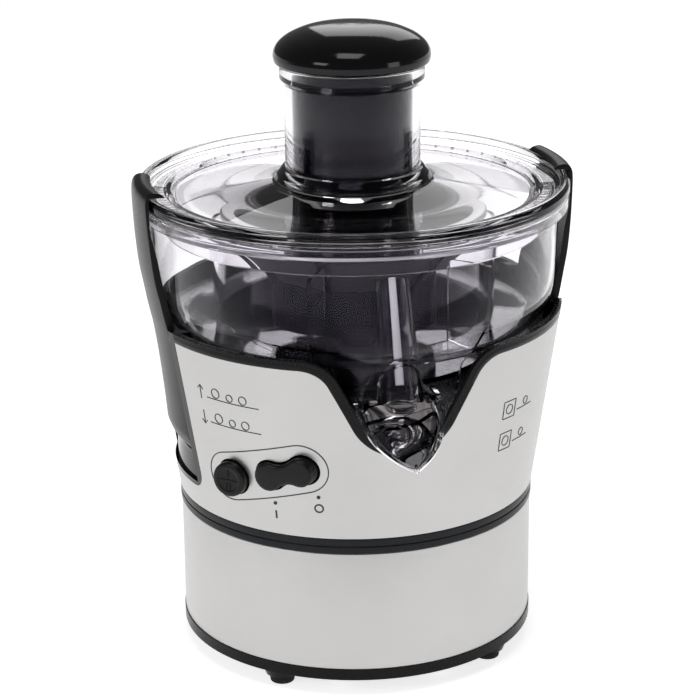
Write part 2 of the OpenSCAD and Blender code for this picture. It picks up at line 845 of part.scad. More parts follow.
// rounded hook that closes over the lid's bead, from the arm's outer face to its inner face
hook_profile = [[clamp_r - 0.3, hook_under - 1.2], [clamp_r - 1.4, hook_under + 0.9],
                [clamp_r - 3.2, hook_under + hook_t - 0.4], [lid_r - 2, hook_under + hook_t],
                [hook_in + 1.6, hook_under + hook_t - 0.8], [hook_in + 0.4, hook_under + 1.2],
                [hook_in, hook_under], [lid_r + 0.6, hook_under], [lid_r + 0.6, z_lip + 45],
                [lid_r - 2, z_lip + 33]];

// a clamp seen from the side, narrower towards the hook
module clamp_outline() {
    polygon([[-clamp_w / 2, 0], [clamp_w / 2, 0], [clamp_w / 2, z_pin + 12], [hook_w / 2, z_top],
             [hook_w / 2, 2 * far], [-hook_w / 2, 2 * far], [-hook_w / 2, z_top],
             [-clamp_w / 2, z_pin + 12]]);
}

module clamp() {
    outer = [for (i = [1 : 7]) clamp_outer[i]];
    inner = [for (i = [5 : -1 : 1]) [clamp_outer[i][0] - clamp_t, clamp_outer[i][1]]];
    foot = r_at(z_pin) - 0.1;
    color(dark) difference() {
        intersection() {
            union() {
                spin(concat([[foot - clamp_t, z_pin], [foot, z_pin]], outer, hook_profile, inner));
                along_hinge(barrel_r, clamp_w);
                below_hinge(pin_x) along_hinge(heel_r, clamp_w);
            }
            sideways(60, far) clamp_outline();
            spin(concat([[0, z_pin - 9]], clamp_outer, [[clamp_r, far * 2], [0, far * 2]]));
        }
        along_hinge(pin_r + run_fit, clamp_w + 2);
    }
}

module clamp_right() {
    clamp();
}

module clamp_left() {
    rotate([0, 0, 180]) clamp();
}

module pusher_body() {
    color(black) spin([[0, z_tube_end + 4], [pusher_r - 1.5, z_tube_end + 4], [pusher_r, z_tube_end + 5.5],
                       [pusher_r, z_lid + 17], [pusher_r - 0.6, z_lid + 17.2], [pusher_r - 0.6, z_lid + 18.2],
                       [pusher_r, z_lid + 18.4], [pusher_r, z_lid + 19.6], [pusher_r - 0.6, z_lid + 19.8],
                       [pusher_r - 0.6, z_lid + 20.8], [pusher_r, z_lid + 21], [pusher_r, z_lid + 22.2],
                       [pusher_r - 0.6, z_lid + 22.4], [pusher_r - 0.6, z_lid + 23.4], [pusher_r, z_lid + 23.6],
                       [pusher_r, z_cap], [pusher_r - 2.4, z_cap], [pusher_r - 2.4, z_tube_end + 7],
                       [0, z_tube_end + 7]]);
}

module pusher_cap() {
    color(black) {
        spin([[0, z_cap + 2], [pusher_r - 5, z_cap + 2], [pusher_r - 5, z_cap - 8], [pusher_r - 2.6, z_cap - 8],
              [pusher_r - 2.6, z_cap], [cap_r - 2, z_cap], [cap_r - 0.4, z_cap + 1.6], [cap_r, z_cap + 4],
              [cap_r - 0.6, z_cap + 7], [cap_r - 3, z_cap + 10.5], [cap_r - 8, z_cap + 14],
              [cap_r - 16, z_cap + 17.3], [cap_r - 26, z_cap + 18.8], [0, z_cap + cap_h]]);
    }
}

module speed_button() {
    color(dark) at_angle(panel_angle) {
        forward(button_seat + button_travel + 0.4, button_face - 0.8) button_outline(button_r);
        forward(button_face - 1, button_face) button_outline(button_r - 0.8);
        forward(switch_back + 1 + button_travel + 0.5, button_seat + button_travel + 1) button_outline(stem_r);
    }
}

module power_rocker() {
    color(black) at_angle(panel_angle) {
        forward(rocker_axis - 1.2, rocker_face) rocker_outline(0);
        rocker_trunnion(1.5, waist_h + 5.4);
    }
}

module panel_outline() {
    color(black) intersection() {
        cone_band(-0.25, 0.2, z_shell + 5, z_deck + 20);
        at_angle(panel_angle) forward(60, far) difference() {
            pill(12.7);
            pill(11.9);
        }
    }
}

module panel_marks() {
    color(black) intersection() {
        cone_band(-0.25, 0.2, z_shell + 2, z_deck + 20);
        at_angle(panel_angle) forward(60, far) {
            translate([6, z_shell + 11]) square([1, 5], center = true);
            translate([27, z_shell + 19]) difference() {
                circle(r = 2.6);
                circle(r = 1.7);
            }
        }
    }
}

bottom_cover();
rubber_feet();
cover_screws();
base_sleeve();
middle_band();
upper_shell();
inner_housing();
side_insert_left();
side_insert_right();
hinge_pin_left();
hinge_pin_right();
cord_inlet();
circuit_board();
capacitor();
safety_switch();
speed_switch();
power_switch();
motor_stator();
field_windings();
motor_bracket_lower();
motor_bracket_upper();
bearing_lower();
bearing_upper();
brush_holders();
carbon_brushes();
rubber_mounts();
motor_screws();
shaft_seal();
juice_bowl();
spout();
drip_rod();
drip_plug();
lid_seal();
lid();
panel_outline();
panel_marks();
motor_shaft();
armature();
armature_winding();
commutator();
cooling_fan();
drive_coupling();
basket_frame();
filter_mesh();
grater_disc();
basket_rim();
clamp_left();
clamp_right();
pusher_body();
pusher_cap();
speed_button();
power_rocker();
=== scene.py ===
"""Looks for a centrifugal juicer: steel base, clear bowl and lid, side clamps, pusher and controls.

Every piece is made in the CAD part's own frame: metres, Z up, the spin axis at the origin and the
spout towards -Y. Sizes inside the classes are millimetres.
"""

import logging
import math
from collections.abc import Iterable, Sequence
from dataclasses import dataclass, field
from enum import Enum

import bmesh
import bpy
from mathutils import Matrix, Vector

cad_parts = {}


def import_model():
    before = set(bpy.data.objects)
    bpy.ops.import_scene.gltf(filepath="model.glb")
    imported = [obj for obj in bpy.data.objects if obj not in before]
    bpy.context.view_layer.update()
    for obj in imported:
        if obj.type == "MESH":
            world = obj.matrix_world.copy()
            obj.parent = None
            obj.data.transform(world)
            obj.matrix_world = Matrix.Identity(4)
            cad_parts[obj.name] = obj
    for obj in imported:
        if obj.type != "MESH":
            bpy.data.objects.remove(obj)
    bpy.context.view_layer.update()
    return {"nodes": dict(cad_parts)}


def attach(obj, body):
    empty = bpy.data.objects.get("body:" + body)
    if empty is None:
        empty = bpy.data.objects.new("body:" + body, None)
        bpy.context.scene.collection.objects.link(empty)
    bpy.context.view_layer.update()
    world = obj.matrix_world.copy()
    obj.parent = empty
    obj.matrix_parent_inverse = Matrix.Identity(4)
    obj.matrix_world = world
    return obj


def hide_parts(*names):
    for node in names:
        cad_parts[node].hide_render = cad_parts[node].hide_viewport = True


MM = 0.001
LOG = logging.getLogger("juicer")

Point = tuple[float, float]
Profile = list[Point]


class Body(Enum):
    """Rigid bodies of the CAD part that pieces ride on."""

    HOUSING = "housing"
    ROTOR = "rotor"
    LEFT_CLAMP = "left_clamp"
    RIGHT_CLAMP = "right_clamp"
    PUSHER = "pusher"
    BUTTON = "button"
    ROCKER = "rocker"


class Grain(Enum):
    """Direction of a finish's fine texture, as noise stretch per axis."""

    NONE = (1.0, 1.0, 1.0)
    LEVEL = (0.06, 0.06, 1.0)
    SPUN = (1.0, 1.0, 0.2)


# ---------------------------------------------------------------- finishes


class NodeBoard:
    """Small helper that wires up one material's nodes."""

    def __init__(self, name: str) -> None:
        """Starts a material with a Principled shader.

        Args:
            name: Name of the new material.
        """
        self.material = bpy.data.materials.new(name)
        self.material.use_nodes = True
        self.tree = self.material.node_tree
        self.shader = self.tree.nodes["Principled BSDF"]
        self.output = self.tree.nodes["Material Output"]

    def link(self, a: bpy.types.NodeSocket, b: bpy.types.NodeSocket) -> None:
        """Links output socket a to input socket b."""
        self.tree.links.new(a, b)

    def coords(self, stretch: Sequence[float]) -> bpy.types.NodeSocket:
        """Object coordinates with a stretch per axis.

        Args:
            stretch: Scale of the pattern along each axis.

        Returns:
            The vector socket.
        """
        source = self.tree.nodes.new("ShaderNodeTexCoord")
        mapping = self.tree.nodes.new("ShaderNodeMapping")
        mapping.inputs["Scale"].default_value = tuple(stretch)
        self.link(source.outputs["Object"], mapping.inputs["Vector"])
        return mapping.outputs["Vector"]

    def noise(self, vector: bpy.types.NodeSocket, scale: float, detail: float) -> bpy.types.NodeSocket:
        """Noise between 0 and 1.

        Args:
            vector: Coordinates of the pattern.
            scale: Repeats per metre.
            detail: Octaves.

        Returns:
            The value socket.
        """
        node = self.tree.nodes.new("ShaderNodeTexNoise")
        node.inputs["Scale"].default_value = scale
        node.inputs["Detail"].default_value = detail
        self.link(vector, node.inputs["Vector"])
        return node.outputs["Fac"]

    def spread(self, value: bpy.types.NodeSocket, low: float, high: float) -> bpy.types.NodeSocket:
        """Maps noise to a range.

        Args:
            value: Noise socket.
            low: Result at 0.3.
            high: Result at 0.7.

        Returns:
            The mapped value socket.
        """
        node = self.tree.nodes.new("ShaderNodeMapRange")
        node.inputs["From Min"].default_value = 0.3
        node.inputs["From Max"].default_value = 0.7
        node.inputs["To Min"].default_value = low
        node.inputs["To Max"].default_value = high
        self.link(value, node.inputs["Value"])
        return node.outputs["Result"]

    def tint(self, value: bpy.types.NodeSocket, dark: Sequence[float], light: Sequence[float]) -> None:
        """Colours the base between two shades by a value.

        Args:
            value: Socket that picks the shade.
            dark: Colour at 0.3.
            light: Colour at 0.7.
        """
        ramp = self.tree.nodes.new("ShaderNodeValToRGB")
        ramp.color_ramp.elements[0].position = 0.3
        ramp.color_ramp.elements[1].position = 0.7
        ramp.color_ramp.elements[0].color = (*dark, 1.0)
        ramp.color_ramp.elements[1].color = (*light, 1.0)
        self.link(value, ramp.inputs["Fac"])
        self.link(ramp.outputs["Color"], self.shader.inputs["Base Color"])

    def bump(self, height: bpy.types.NodeSocket, strength: float, distance: float) -> None:
        """Adds relief to the surface.

        Args:
            height: Height socket.
            strength: Share of the relief shown.
            distance: Depth of the relief in metres.
        """
        node = self.tree.nodes.new("ShaderNodeBump")
        node.inputs["Strength"].default_value = strength
        node.inputs["Distance"].default_value = distance
        self.link(height, node.inputs["Height"])
        self.link(node.outputs["Normal"], self.shader.inputs["Normal"])


def shade(colour: Sequence[float], factor: float) -> tuple[float, float, float]:
    """Colour made lighter or darker by a factor."""
    return tuple(min(1.0, c * factor) for c in colour)


@dataclass(frozen=True)
class Finish:
    """Surface with fine relief, shade variation and uneven gloss."""

    name: str
    slot: str
    colour: tuple[float, float, float]
    roughness: float = 0.4
    rough_spread: float = 0.06
    metal: float = 0.0
    grain: Grain = Grain.NONE
    scale: float = 900.0
    relief: float = 0.15
    depth: float = 0.00004
    variation: float = 0.12
    specular: float = 0.5

    def material(self) -> bpy.types.Material:
        """Builds the material once and returns it after that."""
        made = bpy.data.materials.get(self.name)
        return made if made is not None else self.build().material

    def build(self) -> NodeBoard:
        """Makes the finish's nodes.

        Returns:
            The board with the finished material.
        """
        board = NodeBoard(self.name)
        fine = board.noise(board.coords(self.grain.value), self.scale, 4.0)
        broad = board.noise(board.coords((1.0, 1.0, 1.0)), 28.0, 3.0)
        board.tint(broad, shade(self.colour, 1 - self.variation), shade(self.colour, 1 + self.variation))
        low = max(0.02, self.roughness - self.rough_spread)
        high = self.roughness + self.rough_spread
        board.link(board.spread(fine, low, high), board.shader.inputs["Roughness"])
        board.shader.inputs["Metallic"].default_value = self.metal
        board.shader.inputs["Specular IOR Level"].default_value = self.specular
        board.bump(fine, self.relief, self.depth)
        return board


@dataclass(frozen=True)
class ClearFinish(Finish):
    """Clear moulded plastic with faint flow marks, weak reflections and light shadows."""

    ior: float = 1.45
    glint: tuple[float, float, float] = (0.12, 0.11, 0.15)

    def build(self) -> NodeBoard:
        """Makes the clear finish's nodes.

        Returns:
            The board with the finished material.
        """
        board = NodeBoard(self.name)
        flow = board.noise(board.coords((1.0, 1.0, 0.5)), 60.0, 3.0)
        board.tint(flow, shade(self.colour, 1 - self.variation), self.colour)
        scuff = board.noise(board.coords((1.0, 1.0, 1.0)), self.scale, 5.0)
        board.link(board.spread(scuff, 0.0, self.roughness), board.shader.inputs["Roughness"])
        board.shader.inputs["Transmission Weight"].default_value = 1.0
        board.shader.inputs["IOR"].default_value = self.ior
        board.shader.inputs["Specular Tint"].default_value = (*self.glint, 1.0)
        board.bump(flow, self.relief, self.depth)
        path = board.tree.nodes.new("ShaderNodeLightPath")
        through = board.tree.nodes.new("ShaderNodeBsdfTransparent")
        through.inputs["Color"].default_value = (*shade(self.colour, 0.95), 1.0)
        mix = board.tree.nodes.new("ShaderNodeMixShader")
        board.link(path.outputs["Is Shadow Ray"], mix.inputs[0])
        board.link(board.shader.outputs[0], mix.inputs[1])
        board.link(through.outputs[0], mix.inputs[2])
        board.link(mix.outputs[0], board.output.inputs["Surface"])
        return board


@dataclass(frozen=True)
class MeshFinish(Finish):
    """Perforated sheet: dark dots, close together, in bright steel."""

    pitch: float = 1100.0

    def build(self) -> NodeBoard:
        """Makes the perforated finish's nodes.

        Returns:
            The board with the finished material.
        """
        board = NodeBoard(self.name)
        cells = board.tree.nodes.new("ShaderNodeTexVoronoi")
        cells.inputs["Scale"].default_value = self.pitch
        cells.inputs["Randomness"].default_value = 0.35
        board.link(board.coords((1.0, 1.0, 1.0)), cells.inputs["Vector"])
        hole = board.tree.nodes.new("ShaderNodeMapRange")
        hole.inputs["From Min"].default_value = 0.28
        hole.inputs["From Max"].default_value = 0.4
        board.link(cells.outputs["Distance"], hole.inputs["Value"])
        board.tint(hole.outputs["Result"], shade(self.colour, 0.15), self.colour)
        rough = board.spread(hole.outputs["Result"], 0.6, self.roughness)
        board.link(rough, board.shader.inputs["Roughness"])
        board.shader.inputs["Metallic"].default_value = self.metal
        board.bump(hole.outputs["Result"], 0.5, 0.0001)
        return board


STEEL = Finish("satin_steel", "brushed_shell", (0.53, 0.525, 0.52), roughness=0.34, rough_spread=0.05,
               metal=1.0, grain=Grain.LEVEL, scale=2600.0, relief=0.12, depth=0.00002, variation=0.02)
BRIGHT = Finish("bright_steel", "bright_steel", (0.62, 0.62, 0.62), roughness=0.24, metal=1.0,
                grain=Grain.SPUN, scale=1500.0, relief=0.12, depth=0.00002, variation=0.05)
ALLOY = Finish("pressed_alloy", "bracket_alloy", (0.6, 0.6, 0.61), roughness=0.42, rough_spread=0.08,
               metal=1.0, scale=700.0, depth=0.00003, variation=0.06)
LAMINATION = Finish("varnished_laminations", "lamination", (0.13, 0.125, 0.13), roughness=0.45,
                    rough_spread=0.1, metal=0.7, grain=Grain.LEVEL, scale=2200.0, relief=0.6,
                    depth=0.0002, variation=0.2)
COPPER = Finish("varnished_copper", "copper", (0.55, 0.22, 0.09), roughness=0.32, rough_spread=0.08,
                metal=0.9, grain=Grain.LEVEL, scale=1500.0, relief=0.6, depth=0.0002, variation=0.15)
BLACK = Finish("moulded_black", "black_plastic", (0.007, 0.007, 0.008), roughness=0.26, scale=1400.0,
               relief=0.1, depth=0.00003, variation=0.2, specular=0.12)
BAND = Finish("band_black", "band_plastic", (0.008, 0.009, 0.011), roughness=0.3, grain=Grain.LEVEL,
              scale=1400.0, relief=0.12, depth=0.00003, variation=0.2, specular=0.2)
CLAMP = Finish("clamp_black", "clamp_plastic", (0.008, 0.008, 0.009), roughness=0.3, rough_spread=0.05,
               scale=1800.0, relief=0.16, depth=0.00003, variation=0.2, specular=0.13)
GLOSS = Finish("polished_black", "gloss_black", (0.002, 0.002, 0.003), roughness=0.1, rough_spread=0.03,
               scale=500.0, relief=0.03, depth=0.00002, variation=0.2, specular=0.3)
KNOB = Finish("control_black", "gloss_black", (0.007, 0.007, 0.008), roughness=0.28, rough_spread=0.05,
              scale=1600.0, relief=0.12, depth=0.00003, variation=0.2, specular=0.2)
RUBBER = Finish("foot_rubber", "rubber", (0.014, 0.014, 0.014), roughness=0.75, rough_spread=0.08,
                relief=0.3, depth=0.00006, variation=0.2, specular=0.2)
SWITCH = Finish("switch_black", "switch_plastic", (0.04, 0.04, 0.045), roughness=0.5, rough_spread=0.08)
BOARD = Finish("solder_mask", "board", (0.03, 0.2, 0.07), roughness=0.35, rough_spread=0.08)
# This white finish also dresses the rod on the drip tower, where its white is a painted highlight.
WHITE_AND_HIGHLIGHT = Finish("white_moulding_and_painted_highlight", "white_plastic", (0.8, 0.8, 0.8), roughness=0.35, scale=700.0,
               relief=0.1, depth=0.00003, variation=0.03)
INK = Finish("panel_ink", "print_ink", (0.02, 0.02, 0.022), roughness=0.45, rough_spread=0.08,
             scale=1200.0, relief=0.05, depth=0.00001, variation=0.1)
CLEAR = ClearFinish("clear_moulding", "clear_plastic", (0.955, 0.945, 0.965), roughness=0.03,
                    relief=0.06, depth=0.00005, variation=0.015)
FILTER = MeshFinish("perforated_steel", "bright_steel", (0.42, 0.39, 0.36), roughness=0.35, metal=0.9)


# ---------------------------------------------------------------- shape tools


def rounded(corners: Sequence[tuple[float, float, float]], closed: bool = True, steps: int = 6) -> Profile:
    """Polyline with its corners turned into smooth bends.

    Args:
        corners: Points as (x, y, size of the bend).
        closed: Whether the last point joins the first.
        steps: Points on each bend, less one.

    Returns:
        The rounded polyline.
    """
    out: Profile = []
    count = len(corners)
    for i, (x, y, r) in enumerate(corners):
        here = Vector((x, y))
        if r <= 0 or (not closed and i in (0, count - 1)):
            out.append((x, y))
            continue
        before = Vector(corners[i - 1][:2]) - here
        after = Vector(corners[(i + 1) % count][:2]) - here
        half = before.angle(after) / 2
        reach = min(r / math.tan(half), 0.49 * before.length, 0.49 * after.length)
        start = here + before.normalized() * reach
        end = here + after.normalized() * reach
        for k in range(steps + 1):
            t = k / steps
            out.append(tuple((1 - t) ** 2 * start + 2 * t * (1 - t) * here + t * t * end))
    return out


def smooth_line(points: Sequence[Point], steps: int = 6) -> Profile:
    """Curve through points, with even steps between them.

    Args:
        points: Points that the curve passes through.
        steps: Pieces between two points.

    Returns:
        Points along the curve.
    """
    pts = [Vector(p) for p in points]
    ends = [2 * pts[0] - pts[1], *pts, 2 * pts[-1] - pts[-2]]
    out: Profile = []
    for i in range(1, len(ends) - 2):
        p0, p1, p2, p3 = ends[i - 1:i + 3]
        for k in range(steps):
            t = k / steps
            out.append(tuple(0.5 * ((2 * p1) + (p2 - p0) * t + (2 * p0 - 5 * p1 + 4 * p2 - p3) * t * t
                                    + (3 * p1 - p0 - 3 * p2 + p3) * t ** 3)))
    out.append(tuple(pts[-1]))
    return out


def spun(profile: Sequence[Point], steps: int = 144, closed: bool = True) -> bmesh.types.BMesh:
    """Full turn of a profile about the spin axis.

    Args:
        profile: Points as (radius, height).
        steps: Steps in the turn.
        closed: Whether the profile is a loop; otherwise its ends are on the axis.

    Returns:
        The closed shape, facing outwards.
    """
    bm = bmesh.new()
    verts = [bm.verts.new((r * MM, 0, z * MM)) for r, z in profile]
    edges = [bm.edges.new(pair) for pair in zip(verts, verts[1:])]
    if closed:
        edges.append(bm.edges.new((verts[-1], verts[0])))
    bmesh.ops.spin(bm, geom=verts + edges, cent=(0, 0, 0), axis=(0, 0, 1), angle=2 * math.pi, steps=steps,
                   use_merge=True)
    bmesh.ops.remove_doubles(bm, verts=bm.verts, dist=1e-6)
    bmesh.ops.recalc_face_normals(bm, faces=bm.faces)
    return bm


def swept(profile: Sequence[Point], start: float, turn: float, steps: int) -> bmesh.types.BMesh:
    """Part turn of a closed profile about the spin axis, with both ends closed.

    Args:
        profile: Points as (radius, height).
        start: Angle of the first end from +X, in degrees.
        turn: Angle of the turn in degrees.
        steps: Steps in the turn.

    Returns:
        The closed shape, facing outwards.
    """
    bm = bmesh.new()
    verts = [bm.verts.new((r * MM, 0, z * MM)) for r, z in profile]
    face = bm.faces.new(verts)
    bmesh.ops.rotate(bm, verts=verts, cent=(0, 0, 0), matrix=Matrix.Rotation(math.radians(start), 3, "Z"))
    bmesh.ops.spin(bm, geom=[*verts, *face.edges, face], cent=(0, 0, 0), axis=(0, 0, 1),
                   angle=math.radians(turn), steps=steps, use_merge=False)
    bmesh.ops.remove_doubles(bm, verts=bm.verts, dist=1e-6)
    bmesh.ops.recalc_face_normals(bm, faces=bm.faces)
    return bm


def lofted(rings: Sequence[Sequence[Vector]], loops: bool = True, caps: bool = True) -> bmesh.types.BMesh:
    """Skin bridged over a row of rings or open chains with equal counts.

    Args:
        rings: Points of each ring in millimetres.
        loops: Whether each ring is closed.
        caps: Whether the first and last ring are filled.

    Returns:
        The skin.
    """
    bm = bmesh.new()
    last: list[bmesh.types.BMEdge] = []
    for i, ring in enumerate(rings):
        verts = [bm.verts.new(p * MM) for p in ring]
        pairs = list(zip(verts, verts[1:] + verts[:1])) if loops else list(zip(verts, verts[1:]))
        edges = [bm.edges.new(pair) for pair in pairs]
        if caps and loops and i in (0, len(rings) - 1):
            bm.faces.new(verts)
        if last:
            bmesh.ops.bridge_loops(bm, edges=last + edges)
        last = edges
    bmesh.ops.recalc_face_normals(bm, faces=bm.faces)
    return bm


def soften(bm: bmesh.types.BMesh, size: float, segments: int = 3, angle: float = 50.0) -> None:
    """Rounds the edges that are sharper than an angle.

    Args:
        bm: Shape to round.
        size: Width of the rounding in millimetres.
        segments: Steps in the rounding.
        angle: Least angle between faces, in degrees.
    """
    edges = [e for e in bm.edges if len(e.link_faces) == 2 and e.calc_face_angle(0) > math.radians(angle)]
    bmesh.ops.bevel(bm, geom=edges, offset=size * MM, segments=segments, profile=0.5, affect="EDGES",
                    material=-1, clamp_overlap=True)


def joined(parts: Iterable[bmesh.types.BMesh]) -> bmesh.types.BMesh:
    """Puts several shapes into one.

    Args:
        parts: Shapes, which are freed.

    Returns:
        The joint shape.
    """
    out = bmesh.new()
    for part in parts:
        holder = bpy.data.meshes.new("holder")
        part.to_mesh(holder)
        part.free()
        out.from_mesh(holder)
        bpy.data.meshes.remove(holder)
    return out


def block(low: Sequence[float], high: Sequence[float]) -> bmesh.types.BMesh:
    """Box between two corners in millimetres."""
    bm = bmesh.new()
    size = [h - l for l, h in zip(low, high)]
    middle = Vector([(h + l) / 2 for l, h in zip(low, high)])
    stretch = Matrix.Diagonal((*[s * MM for s in size], 1))
    bmesh.ops.create_cube(bm, size=1.0, matrix=Matrix.Translation(middle * MM) @ stretch)
    return bm


def turned(bm: bmesh.types.BMesh, degrees: float) -> bmesh.types.BMesh:
    """Shape turned about the spin axis."""
    turn = Matrix.Rotation(math.radians(degrees), 3, "Z")
    bmesh.ops.rotate(bm, verts=bm.verts, cent=(0, 0, 0), matrix=turn)
    return bm


def place(bm: bmesh.types.BMesh, name: str, finish: Finish, body: Body, stands_for: Sequence[str] = (),
          sharp: float = 40.0) -> bpy.types.Object:
    """Turns a shape into a finished piece that rides on its body.

    Args:
        bm: Shape in metres, which is freed.
        name: Name of the piece.
        finish: Finish that dresses it.
        body: Body that it rides on.
        stands_for: CAD nodes that it replaces.
        sharp: Angle in degrees past which an edge stays sharp.

    Returns:
        The new object.
    """
    for face in bm.faces:
        face.smooth = True
    for edge in bm.edges:
        edge.smooth = len(edge.link_faces) == 2 and edge.calc_face_angle(0) < math.radians(sharp)
    mesh = bpy.data.meshes.new(name)
    bm.to_mesh(mesh)
    bm.free()
    mesh.materials.append(finish.material())
    obj = bpy.data.objects.new(name, mesh)
    bpy.context.scene.collection.objects.link(obj)
    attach(obj, body.value)
    if stands_for:
        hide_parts(*stands_for)
    LOG.info("%s: %d faces on %s", name, len(mesh.polygons), body.value)
    return obj


# ---------------------------------------------------------------- sizes shared by the sub-assemblies


@dataclass(frozen=True)
class Levels:
    """Heights and radii that several sub-assemblies share, in millimetres."""

    sleeve: float = 14.0
    band: float = 74.0
    shell: float = 82.2
    steel_top: float = 169.5
    lip_top: float = 174.0
    lip_w: float = 4.5
    base_r: float = 87.6
    shell_r0: float = 88.4
    taper: float = 0.149
    floor: float = 166.0
    well: float = 150.0
    bowl_top: float = 227.0
    lid: float = 229.5
    tube_top: float = 291.0
    basket: float = 163.0
    drum_top: float = 189.0
    rim: float = 216.0
    pin: float = 118.0
    slot: float = 93.5

    def shell_r(self, z: float) -> float:
        """Radius of the upper shell at a height."""
        return self.shell_r0 + self.taper * (z - self.shell)

    def on_shell(self, degrees: float, z: float, out: float = 0.0) -> Vector:
        """Point on the shell, by its angle from the spout, its height and how far it stands out."""
        a = math.radians(degrees)
        r = self.shell_r(z) + out
        return Vector((r * math.sin(a), -r * math.cos(a), z))


LV = Levels()


@dataclass(frozen=True)
class Notch:
    """Front notch of the shell: a round bottom, leaning flanks and round shoulders."""

    bottom_z: float = 125.0
    low_r: float = 27.5
    high_r: float = 15.0
    shoulder_x: float = 49.0

    def edge(self, inset: float, steps: int = 14) -> list[Point]:
        """Right half of the edge, from the middle of the bottom to past the shoulder.

        Args:
            inset: Distance by which the notch is made smaller.
            steps: Steps on each arc.

        Returns:
            Points as (x, height).
        """
        low, high = self.low_r - inset, self.high_r + inset
        zc, zs = self.bottom_z + self.low_r, LV.steel_top - self.high_r
        span = math.hypot(self.shoulder_x, zs - zc)
        lean = math.atan2(zs - zc, self.shoulder_x) - math.acos((low + high) / span)
        arc = math.pi / 2 + lean
        out = [(low * math.sin(t * arc / steps), zc - low * math.cos(t * arc / steps))
               for t in range(steps + 1)]
        for t in range(steps + 1):
            a = math.pi + lean - t * arc / steps
            out.append((self.shoulder_x + high * math.cos(a), zs + high * math.sin(a)))
        return out

    def angles(self, inset: float) -> list[Point]:
        """The same edge as (degrees from the spout, height)."""
        return [(math.degrees(math.asin(min(1.0, x / LV.shell_r(z)))), z) for x, z in self.edge(inset)]


NOTCH = Notch()


# ---------------------------------------------------------------- base and shells


@dataclass
class BaseStand:
    """Feet, lower steel sleeve and the black band above it."""

    foot_r: float = 6.0
    foot_circle: float = 78.0
    foot_angles: tuple[float, ...] = (42.0, 138.0, 222.0, 318.0)
    ridges: int = 2
    body: Body = Body.HOUSING

    def build(self) -> None:
        """Builds every piece of the stand."""
        self.feet()
        self.sleeve()
        self.band()

    def feet(self) -> None:
        """Four stepped rubber feet."""
        r = self.foot_r
        side = rounded([(0, 0, 0), (r, 0, 1.2), (r, 3.4, 0.4), (r - 0.8, 4.2, 0.3), (3, 4.5, 0), (3, 9, 0),
                        (0, 9, 0)], closed=False, steps=3)
        parts = []
        for degrees in self.foot_angles:
            a = math.radians(degrees)
            foot = spun(side, 40, closed=False)
            spot = Vector((self.foot_circle * math.sin(a), -self.foot_circle * math.cos(a), 0))
            bmesh.ops.translate(foot, verts=foot.verts, vec=spot * MM)
            parts.append(foot)
        place(joined(parts), "feet", RUBBER, self.body, ["rubber_feet"])

    def sleeve(self) -> None:
        """Plain satin sleeve with rounded edges."""
        r, z0, z1 = LV.base_r, LV.sleeve, LV.band
        profile = rounded([(r - 0.8, z0, 0.2), (r, z0, 0.35), (r, z1, 0.35), (r - 0.8, z1, 0.2)], steps=3)
        place(spun(profile, 180), "lower_sleeve", STEEL, self.body, ["base_sleeve"])

    def band(self) -> None:
        """Black band between the two steel parts, with a fine groove between its ridges."""
        r, z0, z1 = LV.base_r + 0.6, LV.band, LV.shell
        corners = [(r - 3.6, z0 - 5, 0.2), (r - 1.6, z0 - 5, 0.2), (r - 1.6, z0, 0), (r - 0.5, z0, 0.3),
                   (r, z0 + 0.6, 0.4)]
        pitch = (z1 - z0 - 1.2) / self.ridges
        for i in range(1, self.ridges):
            z = z0 + 0.6 + i * pitch
            corners += [(r, z - 0.45, 0.25), (r - 0.45, z - 0.2, 0.15), (r - 0.45, z + 0.2, 0.15),
                        (r, z + 0.45, 0.25)]
        corners += [(r, z1 - 0.6, 0.4), (r - 0.5, z1, 0.3), (r - 1.2, z1, 0), (r - 1.2, z1 + 4, 0.2),
                    (r - 3.6, z1 + 4, 0.2)]
        place(spun(rounded(corners, steps=3), 180), "middle_ring", BAND, self.body, ["middle_band"])


